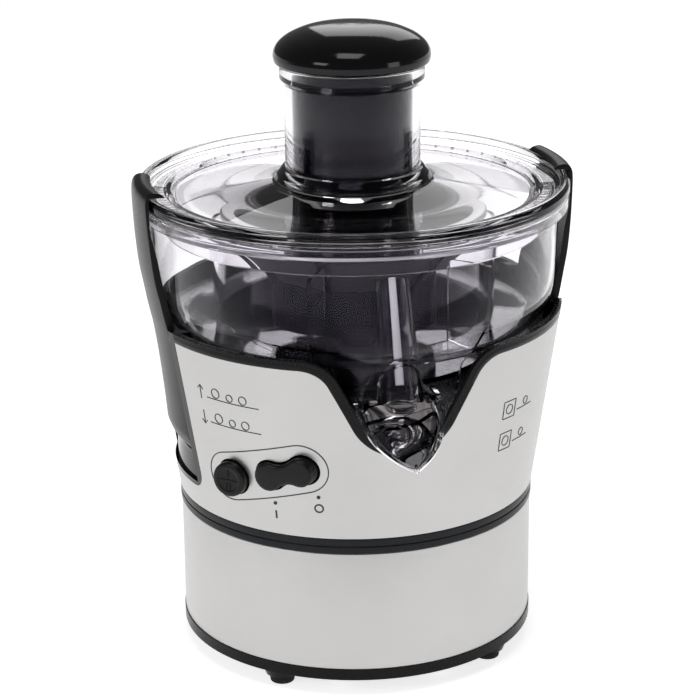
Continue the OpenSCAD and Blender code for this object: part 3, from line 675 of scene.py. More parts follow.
@dataclass
class UpperShell:
    """Tapered steel shell with the notch, the clamp slots and the control holes, and its black lip."""

    thickness: float = 0.8
    slot_half: float = 33.5
    slot_corner: float = 8.0
    columns: int = 150
    lip_depth: float = 3.4
    body: Body = Body.HOUSING

    def build(self) -> None:
        """Builds the shell and the lip."""
        self.shell()
        self.lip()

    def slot_side(self, z: float) -> float:
        """Half angle of a clamp slot at a height, in degrees."""
        return math.degrees(math.asin(self.slot_half / LV.shell_r(z)))

    def outline(self) -> list[Point]:
        """Outer edge of the unrolled shell, as (degrees from the spout, height)."""
        half: list[Point] = NOTCH.angles(0.0)
        top, c = LV.steel_top, self.slot_corner
        half.append((90 - self.slot_side(top), top))
        corner_side = self.slot_side(LV.slot + c)
        drop = math.degrees(c / LV.shell_r(LV.slot))
        for k in range(7):
            a = k * math.pi / 12
            half.append((90 - corner_side + drop * (1 - math.cos(a)), LV.slot + c - c * math.sin(a)))
        for k in range(6, -1, -1):
            a = k * math.pi / 12
            half.append((90 + corner_side - drop * (1 - math.cos(a)), LV.slot + c - c * math.sin(a)))
        half.append((90 + self.slot_side(top), top))
        half.append((180, top))
        left = [(-a, z) for a, z in reversed(half[1:])]
        return [(-180.0, LV.shell), *left, *half, (180.0, LV.shell)]

    def shell(self) -> None:
        """Sheet filled flat, cut into columns, wrapped round the taper and given its thickness."""
        flat = bmesh.new()
        panel = ControlPanel()
        loops = [self.outline(), panel.hole(panel.button_ring(0.8)), panel.hole(panel.rocker_ring(1.0))]
        edges = []
        for loop in loops:
            verts = [flat.verts.new((a, 0, z)) for a, z in loop]
            edges += [flat.edges.new(pair) for pair in zip(verts, verts[1:] + verts[:1])]
        bmesh.ops.triangle_fill(flat, edges=edges, use_beauty=True, normal=(0, -1, 0))
        for k in range(1, self.columns):
            geom = [*flat.verts, *flat.edges, *flat.faces]
            spot = (-180 + 360 * k / self.columns, 0, 0)
            bmesh.ops.bisect_plane(flat, geom=geom, dist=1e-5, plane_co=spot, plane_no=(1, 0, 0))
        for vert in flat.verts:
            vert.co = LV.on_shell(vert.co.x, vert.co.z) * MM
        bmesh.ops.remove_doubles(flat, verts=flat.verts, dist=2e-6)
        bmesh.ops.recalc_face_normals(flat, faces=flat.faces)
        if sum(f.normal.dot(f.calc_center_median() * Vector((1, 1, 0))) for f in flat.faces) < 0:
            bmesh.ops.reverse_faces(flat, faces=flat.faces)
        bmesh.ops.solidify(flat, geom=flat.faces[:], thickness=self.thickness * MM)
        bmesh.ops.recalc_face_normals(flat, faces=flat.faces)
        place(flat, "upper_steel_shell", STEEL, self.body, ["upper_shell"], sharp=35)

    def lip(self) -> None:
        """Rounded black lip along the steel's upper edge, in a front and a back run."""
        deep = self.lip_depth
        section = rounded([(0.0, 0.1, 0), (0.55, 0.1, 0.2), (1.0, -0.5, 0.25), (1.0, -2.6, 0.3),
                           (0.55, -deep, 0.2), (-0.6, -deep, 0)], steps=3)
        steel, rim = NOTCH.angles(0.05), NOTCH.angles(LV.lip_w)
        top_steel, top_rim = LV.steel_top, LV.lip_top
        start = 90 - self.slot_side(top_rim) - 0.1
        right = list(zip(steel, rim))
        flat_from = max(steel[-1][0], rim[-1][0])
        right += [((a, top_steel), (a, top_rim)) for a in
                  [flat_from + (start - flat_from) * k / 18 for k in range(1, 19)]]
        left = [((-p[0], p[1]), (-q[0], q[1])) for p, q in reversed(right[1:])]
        back = [((a, top_steel), (a, top_rim)) for a in
                [180 - start + (2 * start) * k / 60 for k in range(61)]]
        parts = []
        for run in (left + right, back):
            rings = []
            for low, high in run:
                rings.append([LV.on_shell(low[0] + (high[0] - low[0]) * w, low[1] + (high[1] - low[1]) * w, d)
                              for w, d in section])
            parts.append(lofted(rings))
        place(joined(parts), "black_lip", BLACK, self.body, sharp=50)


# ---------------------------------------------------------------- controls


@dataclass
class ControlPanel:
    """Round speed button, two-lobed rocker, line round them and printed marks."""

    angle: float = -42.0
    button_u: float = -17.1
    button_z: float = 108.0
    button_r: float = 8.5
    button_face: float = 96.25
    rocker_u: float = 12.7
    rocker_z: float = 115.7
    rocker_tilt: float = 16.0
    lobe_u: float = 8.6
    lobe_r: float = 7.0
    waist: float = 4.8
    rocker_back: float = 87.7
    rocker_face: float = 96.8
    crown: float = 1.2

    def at(self, u: float, z: float, out: float) -> Vector:
        """Point in the panel's frame, turned into the part's frame.

        Args:
            u: Distance to the right along the panel.
            z: Height.
            out: Distance from the spin axis, straight out of the panel.

        Returns:
            The point in millimetres.
        """
        return Matrix.Rotation(math.radians(self.angle), 3, "Z") @ Vector((u, -out, z))

    def button_ring(self, grow: float) -> list[Point]:
        """Circle round the button as (u, height)."""
        r = self.button_r + grow
        turns = [k * math.pi / 24 for k in range(48)]
        return [(self.button_u + r * math.cos(a), self.button_z + r * math.sin(a)) for a in turns]

    def rocker_ring(self, grow: float) -> list[Point]:
        """Two round lobes joined by a hollow arc above and below, as (u, height).

        Args:
            grow: Distance outside the rocker.

        Returns:
            The outline, all the way round.
        """
        lobe, waist = self.lobe_r + grow, self.waist + grow
        hollow = (self.lobe_u ** 2 + waist ** 2 - lobe ** 2) / (2 * (lobe - waist))
        turn = math.atan2(waist + hollow, self.lobe_u)
        tilt = math.radians(self.rocker_tilt)
        line = []
        for side in (1, -1):
            start = math.pi - turn
            for k in range(25):
                a = start * (2 * k / 24 - 1)
                line.append((side * (self.lobe_u + lobe * math.cos(a)), side * lobe * math.sin(a)))
            for k in range(1, 12):
                a = (math.pi / 2 - turn) * (1 - k / 6)
                line.append((side * hollow * math.sin(a), side * (waist + hollow - hollow * math.cos(a))))
        return [(self.rocker_u + s * math.cos(tilt) - h * math.sin(tilt),
                 self.rocker_z + s * math.sin(tilt) + h * math.cos(tilt)) for s, h in line]

    def hole(self, ring: Sequence[Point]) -> list[Point]:
        """Ring in the panel's frame as (degrees from the spout, height) on the shell.

        Args:
            ring: Outline as (u, height).

        Returns:
            The hole's edge, ready for the unrolled shell.
        """
        return [(self.angle + math.degrees(math.asin(u / LV.shell_r(z))), z) for u, z in ring]

    def build(self) -> None:
        """Builds the controls and the prints."""
        self.button()
        self.rocker()
        self.marks()

    def button(self) -> None:
        """Speed button: a slightly dished round cap with a rounded rim."""
        r, f = self.button_r, self.button_face
        side = rounded([(0, 81.6, 0), (3.9, 81.6, 0.3), (3.9, 88, 0.3), (r, 88, 0.3), (r, f - 0.3, 1.3),
                        (r - 2.4, f, 0.8), (r - 3.4, f - 0.35, 0.8), (0, f - 0.45, 0)],
                       closed=False, steps=4)
        cap = spun(side, 72, closed=False)
        for vert in cap.verts:
            x, y, d = vert.co / MM
            vert.co = self.at(self.button_u + x, self.button_z + y, d) * MM
        bmesh.ops.recalc_face_normals(cap, faces=cap.faces)
        place(cap, "speed_cap", KNOB, Body.BUTTON, ["speed_button"])
        self.button_marks()

    def button_marks(self) -> None:
        """Thin raised bars on the button's face: a middle line, one bar above it and two below."""
        face = self.button_face - 0.5
        parts = []
        for u, z, w, h in ((0, 0, 11.5, 0.5), (0, 3.4, 0.55, 3.6), (-0.9, -3.4, 0.55, 3.6),
                           (0.9, -3.4, 0.55, 3.6)):
            bar = block((-w / 2, -h / 2, 0), (w / 2, h / 2, 0.35))
            for vert in bar.verts:
                x, y, d = vert.co / MM
                vert.co = self.at(self.button_u + u + x, self.button_z + z + y, face + d) * MM
            bmesh.ops.recalc_face_normals(bar, faces=bar.faces)
            parts.append(bar)
        place(joined(parts), "speed_marks", BLACK, Body.BUTTON)

    def rocker(self) -> None:
        """Two-lobed rocker with a low crown, raised in three insets."""
        bm = bmesh.new()
        back = self.rocker_back
        verts = [bm.verts.new((u * MM, z * MM, back * MM)) for u, z in self.rocker_ring(0.0)]
        face = bm.faces.new(verts)
        raised = bmesh.ops.extrude_face_region(bm, geom=[face])
        tops = [v for v in raised["geom"] if isinstance(v, bmesh.types.BMVert)]
        bmesh.ops.translate(bm, verts=tops, vec=(0, 0, (self.rocker_face - back - self.crown) * MM))
        crown = [f for f in bm.faces if all(v in tops for v in f.verts)]
        for size, lift in ((0.25, 0.55), (0.5, 0.4), (1.0, 0.25)):
            bmesh.ops.inset_region(bm, faces=crown, thickness=size * MM, depth=0, use_even_offset=True)
            lifted = list({v for f in crown for v in f.verts})
            bmesh.ops.translate(bm, verts=lifted, vec=(0, 0, lift * MM))
        for vert in bm.verts:
            u, z, d = vert.co / MM
            vert.co = self.at(u, z, d) * MM
        bmesh.ops.recalc_face_normals(bm, faces=bm.faces)
        place(bm, "rocker_cap", KNOB, Body.ROCKER, ["power_rocker"], sharp=60)

    def stroke(self, line: Sequence[Point], width: float, closed: bool = False) -> bmesh.types.BMesh:
        """Printed line on the shell.

        Args:
            line: Points as (degrees from the spout, height).
            width: Width of the line.
            closed: Whether the line is a loop.

        Returns:
            A thin closed ribbon.
        """
        pts = [Vector((math.radians(a) * LV.shell_r(z), z)) for a, z in line]
        rings = []
        n = len(pts)
        for i, p in enumerate(pts):
            before = pts[(i - 1) % n] if closed or i else p
            after = pts[(i + 1) % n] if closed or i < n - 1 else p
            run = (after - before).normalized()
            side = Vector((-run.y, run.x)) * width / 2
            ring = []
            for s, d in ((1, 0.02), (1, 0.13), (-1, 0.13), (-1, 0.02)):
                q = p + side * s
                ring.append(LV.on_shell(math.degrees(q.x / LV.shell_r(q.y)), q.y, d))
            rings.append(ring)
        if closed:
            rings.append([v.copy() for v in rings[0]])
        bm = lofted(rings, caps=not closed)
        bmesh.ops.remove_doubles(bm, verts=bm.verts, dist=1e-7)
        bmesh.ops.recalc_face_normals(bm, faces=bm.faces)
        return bm

    def circle(self, angle: float, z: float, r: float, width: float) -> bmesh.types.BMesh:
        """Printed ring on the shell."""
        k = LV.shell_r(z)
        turns = [t * math.pi / 14 for t in range(28)]
        pts = [(angle + math.degrees(r * math.cos(a) / k), z + r * math.sin(a)) for a in turns]
        return self.stroke(pts, width, closed=True)

    def pill(self) -> list[Point]:
        """Line round both controls, as (degrees from the spout, height)."""
        a, b, r = Vector((-19.7, 107.5)), Vector((20.2, 118.5)), 12.4
        along = math.atan2(b.y - a.y, b.x - a.x)
        pts = []
        for centre, start in ((b, -math.pi / 2), (a, math.pi / 2)):
            for k in range(19):
                t = along + start + math.pi * k / 18
                pts.append(centre + Vector((r * math.cos(t), r * math.sin(t))))
        dense = []
        for p, q in zip(pts, pts[1:] + pts[:1]):
            n = max(1, int((q - p).length / 2.5))
            dense += [p + (q - p) * k / n for k in range(n)]
        return [(self.angle + math.degrees(math.asin(p.x / LV.shell_r(p.y))), p.y) for p in dense]

    def marks(self) -> None:
        """Line round the controls, on and off signs, and plain signs on both sides of the notch."""
        parts = [self.stroke(self.pill(), 0.55, closed=True)]
        parts += [self.circle(-38.6, 98.6, 0.5, 0.9), self.stroke([(-38.6, 90.4), (-38.6, 94.6)], 0.9)]
        parts += [self.circle(-24.9, 104.2, 0.5, 0.9), self.circle(-24.9, 98.2, 2.0, 0.75)]
        w = 0.45
        for z, up in ((149.0, 1), (136.0, -1)):
            parts.append(self.stroke([(-61.5, z - 3.5), (-61.5, z + 3.5)], w))
            head = [(-62.6, z + up * 1.6), (-61.5, z + up * 3.6), (-60.4, z + up * 1.6)]
            parts.append(self.stroke(head, w))
            parts.append(self.stroke([(a, z - 1.8) for a in range(-59, -40, 3)], w))
            for a, r in ((-55.5, 2.4), (-50.5, 1.8), (-46.0, 2.1)):
                parts.append(self.circle(a, z + r - 1.1, r, w))
        for z in (137.5, 121.0):
            side = [(32.6, z - 4.4), (37.8, z - 4.4), (37.8, z + 4.4), (32.6, z + 4.4)]
            dense = [(c[0] + (d[0] - c[0]) * k / 4, c[1] + (d[1] - c[1]) * k / 4)
                     for c, d in zip(side, side[1:] + side[:1]) for k in range(4)]
            parts.append(self.stroke(dense, w, closed=True))
            parts.append(self.circle(35.2, z, 2.4, w))
            parts.append(self.stroke([(a, z - 2.0) for a in range(39, 48, 2)], w))
            parts.append(self.circle(43.2, z + 0.9, 1.9, w))
        place(joined(parts), "printed_marks", INK, Body.HOUSING, ["panel_outline", "panel_marks"])


# ---------------------------------------------------------------- clamps


@dataclass
class SideClamp:
    """Curved arm that narrows upwards and closes over the lid's bead with a rounded hook."""

    side: int
    width: float = 56.0
    hook_width: float = 42.0
    taper_from: float = 130.0
    pin_x: float = 85.03
    heel_r: float = 8.0
    edge: float = 1.1

    def section(self) -> Profile:
        """Side view of the arm, as (radius, height)."""
        outer = smooth_line([(LV.shell_r(LV.pin) - 0.1, LV.pin), (94.9, 132), (96.9, 150), (99.2, 166),
                             (101.3, 176), (103.4, 187.5), (105.2, 198), (106.5, 212), (107.2, 226),
                             (107.3, 233.4), (106.7, 236.6), (105.2, 238.5), (102.9, 239.2),
                             (100.5, 238.8), (98.8, 237.8), (98.1, 236.9)], 5)
        inner = smooth_line([(98.7, 236.75), (103.6, 236.75), (105.5, 236.2), (105.65, 233), (105.65, 220),
                             (103.4, 208), (102.0, 198), (100.1, 187), (98.0, 176), (95.9, 166),
                             (93.6, 150), (91.9, 132), (90.3, 119.5)], 5)
        heel = [(self.pin_x + self.heel_r * math.cos(a), LV.pin + self.heel_r * math.sin(a))
                for a in [-math.radians(90 - 7.5 * k) for k in range(12)]]
        return [(self.pin_x, LV.pin - self.heel_r + 0.1), *heel[1:], *outer, *inner, (self.pin_x, 121.5)]

    def build(self) -> None:
        """Sweeps the section round the juicer, trims it to its tapered width and rounds the edges."""
        half = math.degrees(math.asin(self.width / 2 / 86)) + 3
        centre = 0 if self.side > 0 else 180
        bm = swept(self.section(), centre - half, 2 * half, 30)
        lean = Vector((0, LV.bowl_top - self.taper_from, (self.width - self.hook_width) / 2)).normalized()
        for s in (-1, 1):
            spot = Vector((0, s * self.width / 2, self.taper_from)) * MM
            for normal in (Vector((0, s, 0)), Vector((0, s * lean.y, lean.z))):
                cut = bmesh.ops.bisect_plane(bm, geom=[*bm.verts, *bm.edges, *bm.faces], dist=1e-6,
                                             plane_co=spot, plane_no=normal, clear_outer=True)
                rim = [e for e in cut["geom_cut"] if isinstance(e, bmesh.types.BMEdge) and e.is_boundary]
                bmesh.ops.contextual_create(bm, geom=rim)
        bmesh.ops.recalc_face_normals(bm, faces=bm.faces)
        edges = [e for e in bm.edges if len(e.link_faces) == 2 and e.calc_face_angle(0) > math.radians(45)
                 and any(abs(f.normal.y) > 0.95 and len(f.verts) > 8 for f in e.link_faces)]
        bmesh.ops.bevel(bm, geom=edges, offset=self.edge * MM, segments=4, profile=0.5, affect="EDGES",
                        material=-1, clamp_overlap=True)
        word = "right" if self.side > 0 else "left"
        body = Body.RIGHT_CLAMP if self.side > 0 else Body.LEFT_CLAMP
        place(bm, f"{word}_clamp_arm", CLAMP, body, [f"clamp_{word}"], sharp=38)


# ---------------------------------------------------------------- bowl, spout and lid


@dataclass
class ClearBowl:
    """Clear pulp bowl with its juice well, front walls, funnel, drip tower and spout."""

    wall: float = 2.2
    divider: float = 67.0
    wall_top: float = 211.4
    wall_turn: float = 26.0
    apron_r: float = 93.2
    apron_t: float = 1.8
    tower_out: float = 88.0
    tower_lean: float = 15.5
    tower_h: float = 58.0
    spout_tip: float = 116.0
    throat: float = 21.0
    beak_r: float = 36.0
    body: Body = Body.HOUSING

    def build(self) -> None:
        """Builds the bowl and what hangs on it."""
        self.bowl()
        self.spout()
        self.plug()

    def bowl(self) -> None:
        """Turned bowl, with the flat walls, the apron and the tower as moulded extras."""
        f, w, d = LV.floor, self.wall, self.divider
        outer = smooth_line([(101.4, 226.6), (100.1, 222), (99.6, 209.5), (98.7, 189.5), (97.6, 181.5),
                             (95.3, 175.5), (91.6, 170), (87, 166.8), (83, f)], 5)
        inner = smooth_line([(83, f + w), (86.5, f + w + 0.7), (90, 171.8), (93.2, 176.8), (95.3, 182.4),
                             (96.5, 190), (97.4, 209.5), (97.9, 222), (98.0, 226.8)], 5)
        well = [(d + 2, f), (d + 2, LV.well), (15, LV.well), (15, LV.well + 8), (17, LV.well + 8),
                (17, LV.well + 2), (d, LV.well + 2), (d, LV.rim - 2), (d + 2, LV.rim - 2), (d + 2, f + w)]
        parts = [spun([*outer, *well, *inner, (98.4, 227), (101.2, 227)], 160)]
        plate = [(d + 1.5, f + w + 0.2), (86, f + w + 0.9), (94, 181), (96, 190), (96.8, self.wall_top),
                 (d + 1.5, self.wall_top)]
        for s in (-1, 1):
            parts.append(swept(plate, -90 + s * self.wall_turn - 0.6, 1.2, 1))
        parts.append(self.funnel())
        tower = spun(rounded([(9.6, 0.3, 0), (11, 0, 0.4), (7.5, self.tower_h, 0.4),
                              (6, self.tower_h, 0.4)], steps=3), 48)
        self.lean(tower)
        parts.append(tower)
        place(joined(parts), "clear_bowl", CLEAR, self.body, ["juice_bowl"])

    def lean(self, bm: bmesh.types.BMesh) -> None:
        """Leans a shape along the drip tower.

        Args:
            bm: Shape standing on the origin.
        """
        spot = Matrix.Translation(Vector((0, -self.tower_out, LV.well - 1)) * MM)
        turn = Matrix.Rotation(math.radians(-self.tower_lean), 4, "X")
        bmesh.ops.transform(bm, matrix=spot @ turn, verts=bm.verts)

    def funnel(self) -> bmesh.types.BMesh:
        """Clear apron that follows the notch down to the spout.

        Returns:
            The closed apron.
        """
        rings = []
        edge = [(x, z) for x, z in NOTCH.edge(LV.lip_w + 1.6, 10) if z > LV.well - 0.4 and z < 173]
        edge = [(edge[0][0] - 0.4, LV.well - 0.5), *edge]
        for x, z in edge:
            drop = max(0.0, min(1.0, (174 - z) / 24))
            r = self.apron_r - 9.5 * drop ** 1.3
            ring = []
            for reach, order in ((r, range(25)), (r - self.apron_t, range(24, -1, -1))):
                for k in order:
                    a = math.asin(x * (1 - 2 * k / 24) / r)
                    ring.append(Vector((reach * math.sin(a), -reach * math.cos(a), z)))
            rings.append(ring)
        return lofted(rings)

    def half_width(self, r: float) -> float:
        """Half width of the spout at a distance from the spin axis."""
        past = max(0.0, r - 84)
        return self.throat - self.beak_r + math.sqrt(max(0.0, self.beak_r ** 2 - past ** 2))

    def spout(self) -> None:
        """Beak-shaped scoop: cross sections are bridged, then given their thickness."""
        chains = []
        steps = 26
        back = self.divider + 2
        for k in range(25):
            t = k / 24
            r = back + (self.spout_tip - back) * (1 - (1 - t) ** 1.5)
            rim = LV.well - 0.5 - max(0.0, r - 80) * 0.639
            low = 131.4 - (r - 98) * 0.384
            w = max(0.6, self.half_width(r))
            deep = max(0.8, rim - low)
            sags = [max(0.0, math.sin(math.pi * j / steps)) ** 0.75 for j in range(steps + 1)]
            chains.append([Vector((w * math.cos(math.pi * j / steps), -r, rim - deep * sag))
                           for j, sag in enumerate(sags)])
        bm = lofted(chains, loops=False, caps=False)
        if sum(f.normal.z for f in bm.faces) > 0:
            bmesh.ops.reverse_faces(bm, faces=bm.faces)
        bmesh.ops.solidify(bm, geom=bm.faces[:], thickness=2.0 * MM)
        bmesh.ops.remove_doubles(bm, verts=bm.verts, dist=0.00012)
        bmesh.ops.recalc_face_normals(bm, faces=bm.faces)
        place(bm, "clear_spout", CLEAR, self.body, ["spout"], sharp=50)

    def plug(self) -> None:
        """White rod along the drip tower's spine, a painted highlight, and its clear plug."""
        end = self.tower_h + 0.5
        # Painted highlight: this white rod stands in for the bright streak along the clear tower's spine.
        rod = spun(rounded([(0, 9, 0), (2, 9, 0.5), (1.7, end, 0.6), (0, end, 0)], closed=False, steps=3),
                   32, closed=False)
        self.lean(rod)
        place(rod, "painted_highlight_rod", WHITE_AND_HIGHLIGHT, self.body, ["drip_rod"])
        disc = spun(rounded([(0, 145.8, 0), (6.6, 145.8, 0.8), (7.5, 147, 0.8), (7.5, 148.8, 0.5),
                             (5.6, 148.8, 0.4), (5.2, 147.6, 0.4), (0, 147.6, 0)],
                            closed=False, steps=3), 48, closed=False)
        bmesh.ops.translate(disc, verts=disc.verts, vec=(0, -self.tower_out * MM, 0))
        place(disc, "clear_plug", CLEAR, self.body, ["drip_plug"])


@dataclass
class ClearLid:
    """Clear lid with its rim, teeth, skirts and feed tube."""

    rim_r: float = 105.0
    tube_r: float = 32.8
    tube_in: float = 29.4
    tube_low: float = 180.0
    teeth: int = 60
    body: Body = Body.HOUSING

    def build(self) -> None:
        """Builds the turned lid, its ring of teeth and the seal."""
        r, z, t, bore, low = self.rim_r, LV.lid, self.tube_r, self.tube_in, self.tube_low
        top = LV.tube_top
        edge = [(r - 2.6, z - 7.1, 0.3), (r - 0.7, z - 7.1, 0.8), (r - 0.7, z - 1.9, 0.4),
                (r - 1.0, z - 1.4, 0.3), (r - 0.7, z - 0.9, 0.4), (r - 0.5, z, 0.6), (r, z + 1, 1.0),
                (r, z + 4, 1.8), (r - 1.5, z + 6, 1.6), (r - 3.6, z + 6, 1.6), (r - 4.8, z + 3.6, 1.2)]
        plate = [(r - 14.6, z + 2.6, 1.2), (r - 16.4, z + 1.6, 1.2), (r - 19, z - 1, 1.4),
                 (t + 5.5, z + 5.3, 2.0), (t + 4.2, z + 8.6, 1.6), (t + 1.5, z + 11.5, 1.2)]
        tube = [(t, z + 12, 0.8), (t, top - 8.5, 2.0), (t + 2.2, top - 6.3, 1.2), (t + 2.2, top, 0.8),
                (bore + 0.6, top, 0.6), (bore, top - 1.4, 1.0), (bore, low, 0.6), (t, low, 0.8)]
        skirt = [(t, z + 3, 1.2), (r - 18.4, z - 3.4, 1.2), (r - 15.3, z - 0.4, 0.8),
                 (r - 15.3, z - 17.2, 0.6), (r - 13.3, z - 17.2, 0.6), (r - 13.3, z, 0.8), (r - 2.6, z, 0.8)]
        parts = [spun(rounded([*edge, *plate, *tube, *skirt], steps=4), 180)]
        for k in range(self.teeth):
            tooth = block((r - 12.6, -0.9, z - 1.9), (r - 8.2, 0.9, z - 0.05))
            parts.append(turned(tooth, 360 * k / self.teeth))
        place(joined(parts), "clear_lid", CLEAR, self.body, ["lid"])
        seal = spun(rounded([(98.4, 227.1, 0.6), (99.8, 227.1, 0.6), (99.8, 229.3, 0.6),
                             (98.4, 229.3, 0.6)], steps=3), 160)
        place(seal, "lid_seal_ring", CLEAR, self.body, ["lid_seal"])


# ---------------------------------------------------------------- basket and pusher


@dataclass
class FilterBasket:
    """Black basket frame, perforated filter and bright rim."""

    drum_r: float = 40.5
    rim_r: float = 64.0
    ribs: int = 6
    body: Body = Body.ROTOR

    def build(self) -> None:
        """Builds the basket's frame, filter and rim."""
        d, z, top = self.drum_r, LV.basket, LV.drum_top
        r, rim = self.rim_r, LV.rim
        drum = spun(rounded([(d - 3, z, 0.8), (d, z + 0.6, 0.8), (d, z + 8, 0.3), (d - 0.5, z + 8.4, 0.2),
                             (d - 0.5, z + 9, 0.2), (d, z + 9.4, 0.3), (d, top, 0.6), (d - 2, top, 0.5),
                             (d - 2, z + 3, 0.6), (8.6, z + 3, 0.4), (8.6, z, 0)], steps=3), 120)
        hub = spun(rounded([(8.6, z - 9.5, 0.4), (12, z - 9.5, 0.5), (12, z - 0.1, 0), (8.6, z - 0.1, 0)],
                           steps=2), 48)
        lid = spun([(0, z + 0.4), (8.5, z + 0.4), (8.5, z + 2.8), (0, z + 2.8)], 48, closed=False)
        parts = [drum, hub, lid]
        for i in range(self.ribs):
            rib = bmesh.new()
            side = ((d - 1.8, top - 4), (d + 0.4, top - 4), (r - 1.6, rim), (r - 4.4, rim), (d, top + 0.2))
            verts = [rib.verts.new((x * MM, -1.5 * MM, h * MM)) for x, h in side]
            raised = bmesh.ops.extrude_face_region(rib, geom=[rib.faces.new(verts)])
            moved = [v for v in raised["geom"] if isinstance(v, bmesh.types.BMVert)]
            bmesh.ops.translate(rib, verts=moved, vec=(0, 3 * MM, 0))
            bmesh.ops.recalc_face_normals(rib, faces=rib.faces)
            soften(rib, 0.4, 2)
            parts.append(turned(rib, i * 360 / self.ribs))
        place(joined(parts), "basket_moulding", BLACK, self.body, ["basket_frame"])
        cone = spun([(d - 1.2, top + 0.3), (d - 0.6, top + 0.3), (r - 5.1, rim - 0.2), (r - 5.7, rim - 0.2)],
                    144)
        place(cone, "filter_cone", FILTER, self.body, ["filter_mesh"])
        ring = spun(rounded([(r - 8, rim, 0.4), (r - 1, rim, 0.6), (r, rim + 1, 0.6), (r, rim + 3.6, 0.8),
                             (r - 1, rim + 4.5, 0.8), (r - 7, rim + 4.5, 0.8), (r - 8, rim + 2, 0.6)],
                            steps=3), 144)
        place(ring, "basket_rim_ring", BRIGHT, self.body, ["basket_rim"])


@dataclass
class FoodPusher:
    """Hollow pusher with three grooves and a domed cap."""

    radius: float = 28.8
    cap_r: float = 38.0
    cap_z: float = 291.3
    cup_low: float = 184.0
    body: Body = Body.PUSHER

    def build(self) -> None:
        """Builds the cup and the cap."""
        r, low, z = self.radius, self.cup_low, LV.lid
        c, z0 = self.cap_r, self.cap_z
        corners = [(0, low, 0), (r - 0.2, low, 1.6)]
        for k in range(3):
            h = z + 16.8 + 2.2 * k
            corners += [(r, h, 0.2), (r - 0.7, h + 0.3, 0.2), (r - 0.7, h + 1.1, 0.2), (r, h + 1.4, 0.2)]
        corners += [(r, z0 - 0.4, 0.3), (r - 2.4, z0 - 0.4, 0.3), (r - 2.4, low + 3, 1.0), (0, low + 3, 0)]
        cup = spun(rounded(corners, closed=False, steps=3), 128, closed=False)
        place(cup, "pusher_cup", GLOSS, self.body, ["pusher_body"])
        dome = smooth_line([(c, z0 + 4.2), (c - 0.7, z0 + 7.4), (c - 3.2, z0 + 10.8), (c - 8, z0 + 14.1),
                            (c - 16, z0 + 17.2), (c - 26, z0 + 18.8), (0.0, z0 + 19.2)], 6)
        skirt = rounded([(0, z0 + 2, 0), (r - 5, z0 + 2, 0.4), (r - 5, z0 - 8, 0.4), (r - 2.7, z0 - 8, 0.4),
                         (r - 2.7, z0, 0.3), (c - 2.6, z0, 0.9), (c - 0.5, z0 + 1.4, 1.0), (c, z0 + 4.2, 0)],
                        closed=False, steps=4)
        place(spun([*skirt[:-1], *dome], 160, closed=False), "pusher_knob", GLOSS, self.body, ["pusher_cap"])


# ---------------------------------------------------------------- carried-over pieces and the stage


@dataclass
class CarriedNodes:
    """CAD nodes that keep their shape and take a finish."""

    finishes: dict[str, Finish] = field(default_factory=lambda: {
        "bottom_cover": BLACK, "cover_screws": BRIGHT, "inner_housing": BLACK, "side_insert_left": GLOSS,
        "side_insert_right": GLOSS, "hinge_pin_left": BRIGHT, "hinge_pin_right": BRIGHT,
        "cord_inlet": BLACK, "circuit_board": BOARD, "capacitor": SWITCH, "safety_switch": SWITCH,
        "speed_switch": SWITCH, "power_switch": SWITCH, "motor_stator": LAMINATION,
        "field_windings": COPPER, "motor_bracket_lower": ALLOY, "motor_bracket_upper": ALLOY,
        "bearing_lower": BRIGHT, "bearing_upper": BRIGHT, "brush_holders": BLACK,
        "carbon_brushes": SWITCH, "rubber_mounts": RUBBER, "motor_screws": BRIGHT, "shaft_seal": RUBBER,
        "motor_shaft": BRIGHT, "armature": LAMINATION, "armature_winding": COPPER, "commutator": COPPER,
        "cooling_fan": WHITE_AND_HIGHLIGHT, "drive_coupling": BLACK, "grater_disc": BRIGHT})

    def dress(self, nodes: dict[str, bpy.types.Object]) -> None:
        """Gives each carried node its finish.

        Args:
            nodes: The frame's CAD objects by name.
        """
        for name, finish in self.finishes.items():
            for slot in nodes[name].material_slots:
                slot.material = finish.material()
            LOG.info("%s keeps its shape, finish %s", name, finish.name)


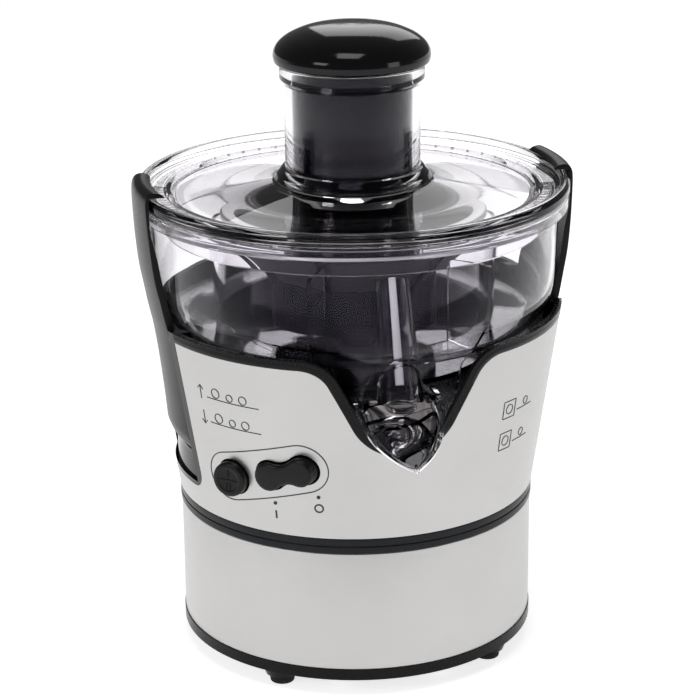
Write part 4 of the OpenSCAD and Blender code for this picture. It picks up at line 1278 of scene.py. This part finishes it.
@dataclass
class Studio:
    """Camera, soft lights and pale floor."""

    place_mm: tuple[float, float, float] = (-275.5, -1112.1, 533.1)
    turn: float = 13.8
    pitch: float = 18.65
    roll: float = 0.00999
    lens: float = 125.2
    floor_glow: float = 0.76
    room: float = 0.16

    def build(self) -> None:
        """Builds the whole stage."""
        self.camera()
        self.floor()
        self.lights()

    def camera(self) -> None:
        """Camera in front of the juicer, a little to its left and above."""
        a, p = math.radians(self.turn), math.radians(self.pitch)
        ahead = Vector((math.cos(p) * math.sin(a), math.cos(p) * math.cos(a), -math.sin(p)))
        right = Vector((math.cos(a), -math.sin(a), 0))
        up = right.cross(ahead)
        right, up = (right - self.roll * up).normalized(), (up + self.roll * right).normalized()
        data = bpy.data.cameras.new("studio_camera")
        data.lens, data.sensor_width = self.lens, 36.0
        data.clip_start, data.clip_end = 0.05, 30.0
        data.dof.use_dof = False
        obj = bpy.data.objects.new("studio_camera", data)
        bpy.context.scene.collection.objects.link(obj)
        turn = Matrix((right, up, -ahead)).transposed().to_4x4()
        obj.matrix_world = Matrix.Translation(Vector(self.place_mm) * MM) @ turn
        bpy.context.scene.camera = obj

    def floor(self) -> None:
        """Pale floor, wide enough to fill the view."""
        bm = bmesh.new()
        bmesh.ops.create_grid(bm, x_segments=2, y_segments=2, size=9.0)
        mesh = bpy.data.meshes.new("floor")
        bm.to_mesh(mesh)
        bm.free()
        board = NodeBoard("pale_floor")
        cloud = board.noise(board.coords((1, 1, 1)), 1.5, 2.0)
        board.tint(cloud, (0.93, 0.93, 0.93), (0.95, 0.95, 0.95))
        board.shader.inputs["Roughness"].default_value = 0.9
        board.shader.inputs["Specular IOR Level"].default_value = 0.1
        board.shader.inputs["Emission Color"].default_value = (1.0, 1.0, 1.0, 1.0)
        board.shader.inputs["Emission Strength"].default_value = self.floor_glow
        mesh.materials.append(board.material)
        obj = bpy.data.objects.new("floor", mesh)
        bpy.context.scene.collection.objects.link(obj)

    def lamp(self, name: str, spot: Sequence[float], size: float, power: float) -> None:
        """Square soft light aimed at the juicer.

        Args:
            name: Name of the light.
            spot: Place in metres.
            size: Side in metres.
            power: Power in watts.
        """
        data = bpy.data.lights.new(name, "AREA")
        data.shape, data.size, data.energy = "SQUARE", size, power
        obj = bpy.data.objects.new(name, data)
        bpy.context.scene.collection.objects.link(obj)
        aim = (Vector((0, 0, 0.15)) - Vector(spot)).normalized()
        turn = aim.to_track_quat("-Z", "Y").to_matrix().to_4x4()
        obj.matrix_world = Matrix.Translation(Vector(spot)) @ turn

    def lights(self) -> None:
        """Dim white room with soft boxes to the left, right, back and above."""
        world = bpy.data.worlds.new("studio")
        world.use_nodes = True
        backdrop = world.node_tree.nodes["Background"]
        backdrop.inputs["Color"].default_value = (1.0, 1.0, 1.0, 1.0)
        backdrop.inputs["Strength"].default_value = self.room
        bpy.context.scene.world = world
        self.lamp("left_box", (-1.35, -0.75, 0.85), 0.55, 4.4)
        self.lamp("right_box", (1.05, -0.95, 0.45), 0.45, 1.6)
        self.lamp("top_box", (-0.15, -0.35, 1.7), 0.6, 4.5)
        self.lamp("back_box", (0.5, 1.3, 1.0), 0.8, 3.5)
        bpy.context.scene.view_settings.view_transform = "Standard"


def main() -> None:
    """Builds the juicer's pieces in order."""
    logging.basicConfig(level=logging.INFO, format="%(message)s")
    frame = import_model()
    Studio().build()
    CarriedNodes().dress(frame["nodes"])
    parts = (BaseStand(), UpperShell(), ControlPanel(), SideClamp(-1), SideClamp(1), FilterBasket(),
             ClearBowl(), ClearLid(), FoodPusher())
    for part in parts:
        part.build()
        LOG.info("built %s", type(part).__name__)


if __name__ == "__main__":
    main()
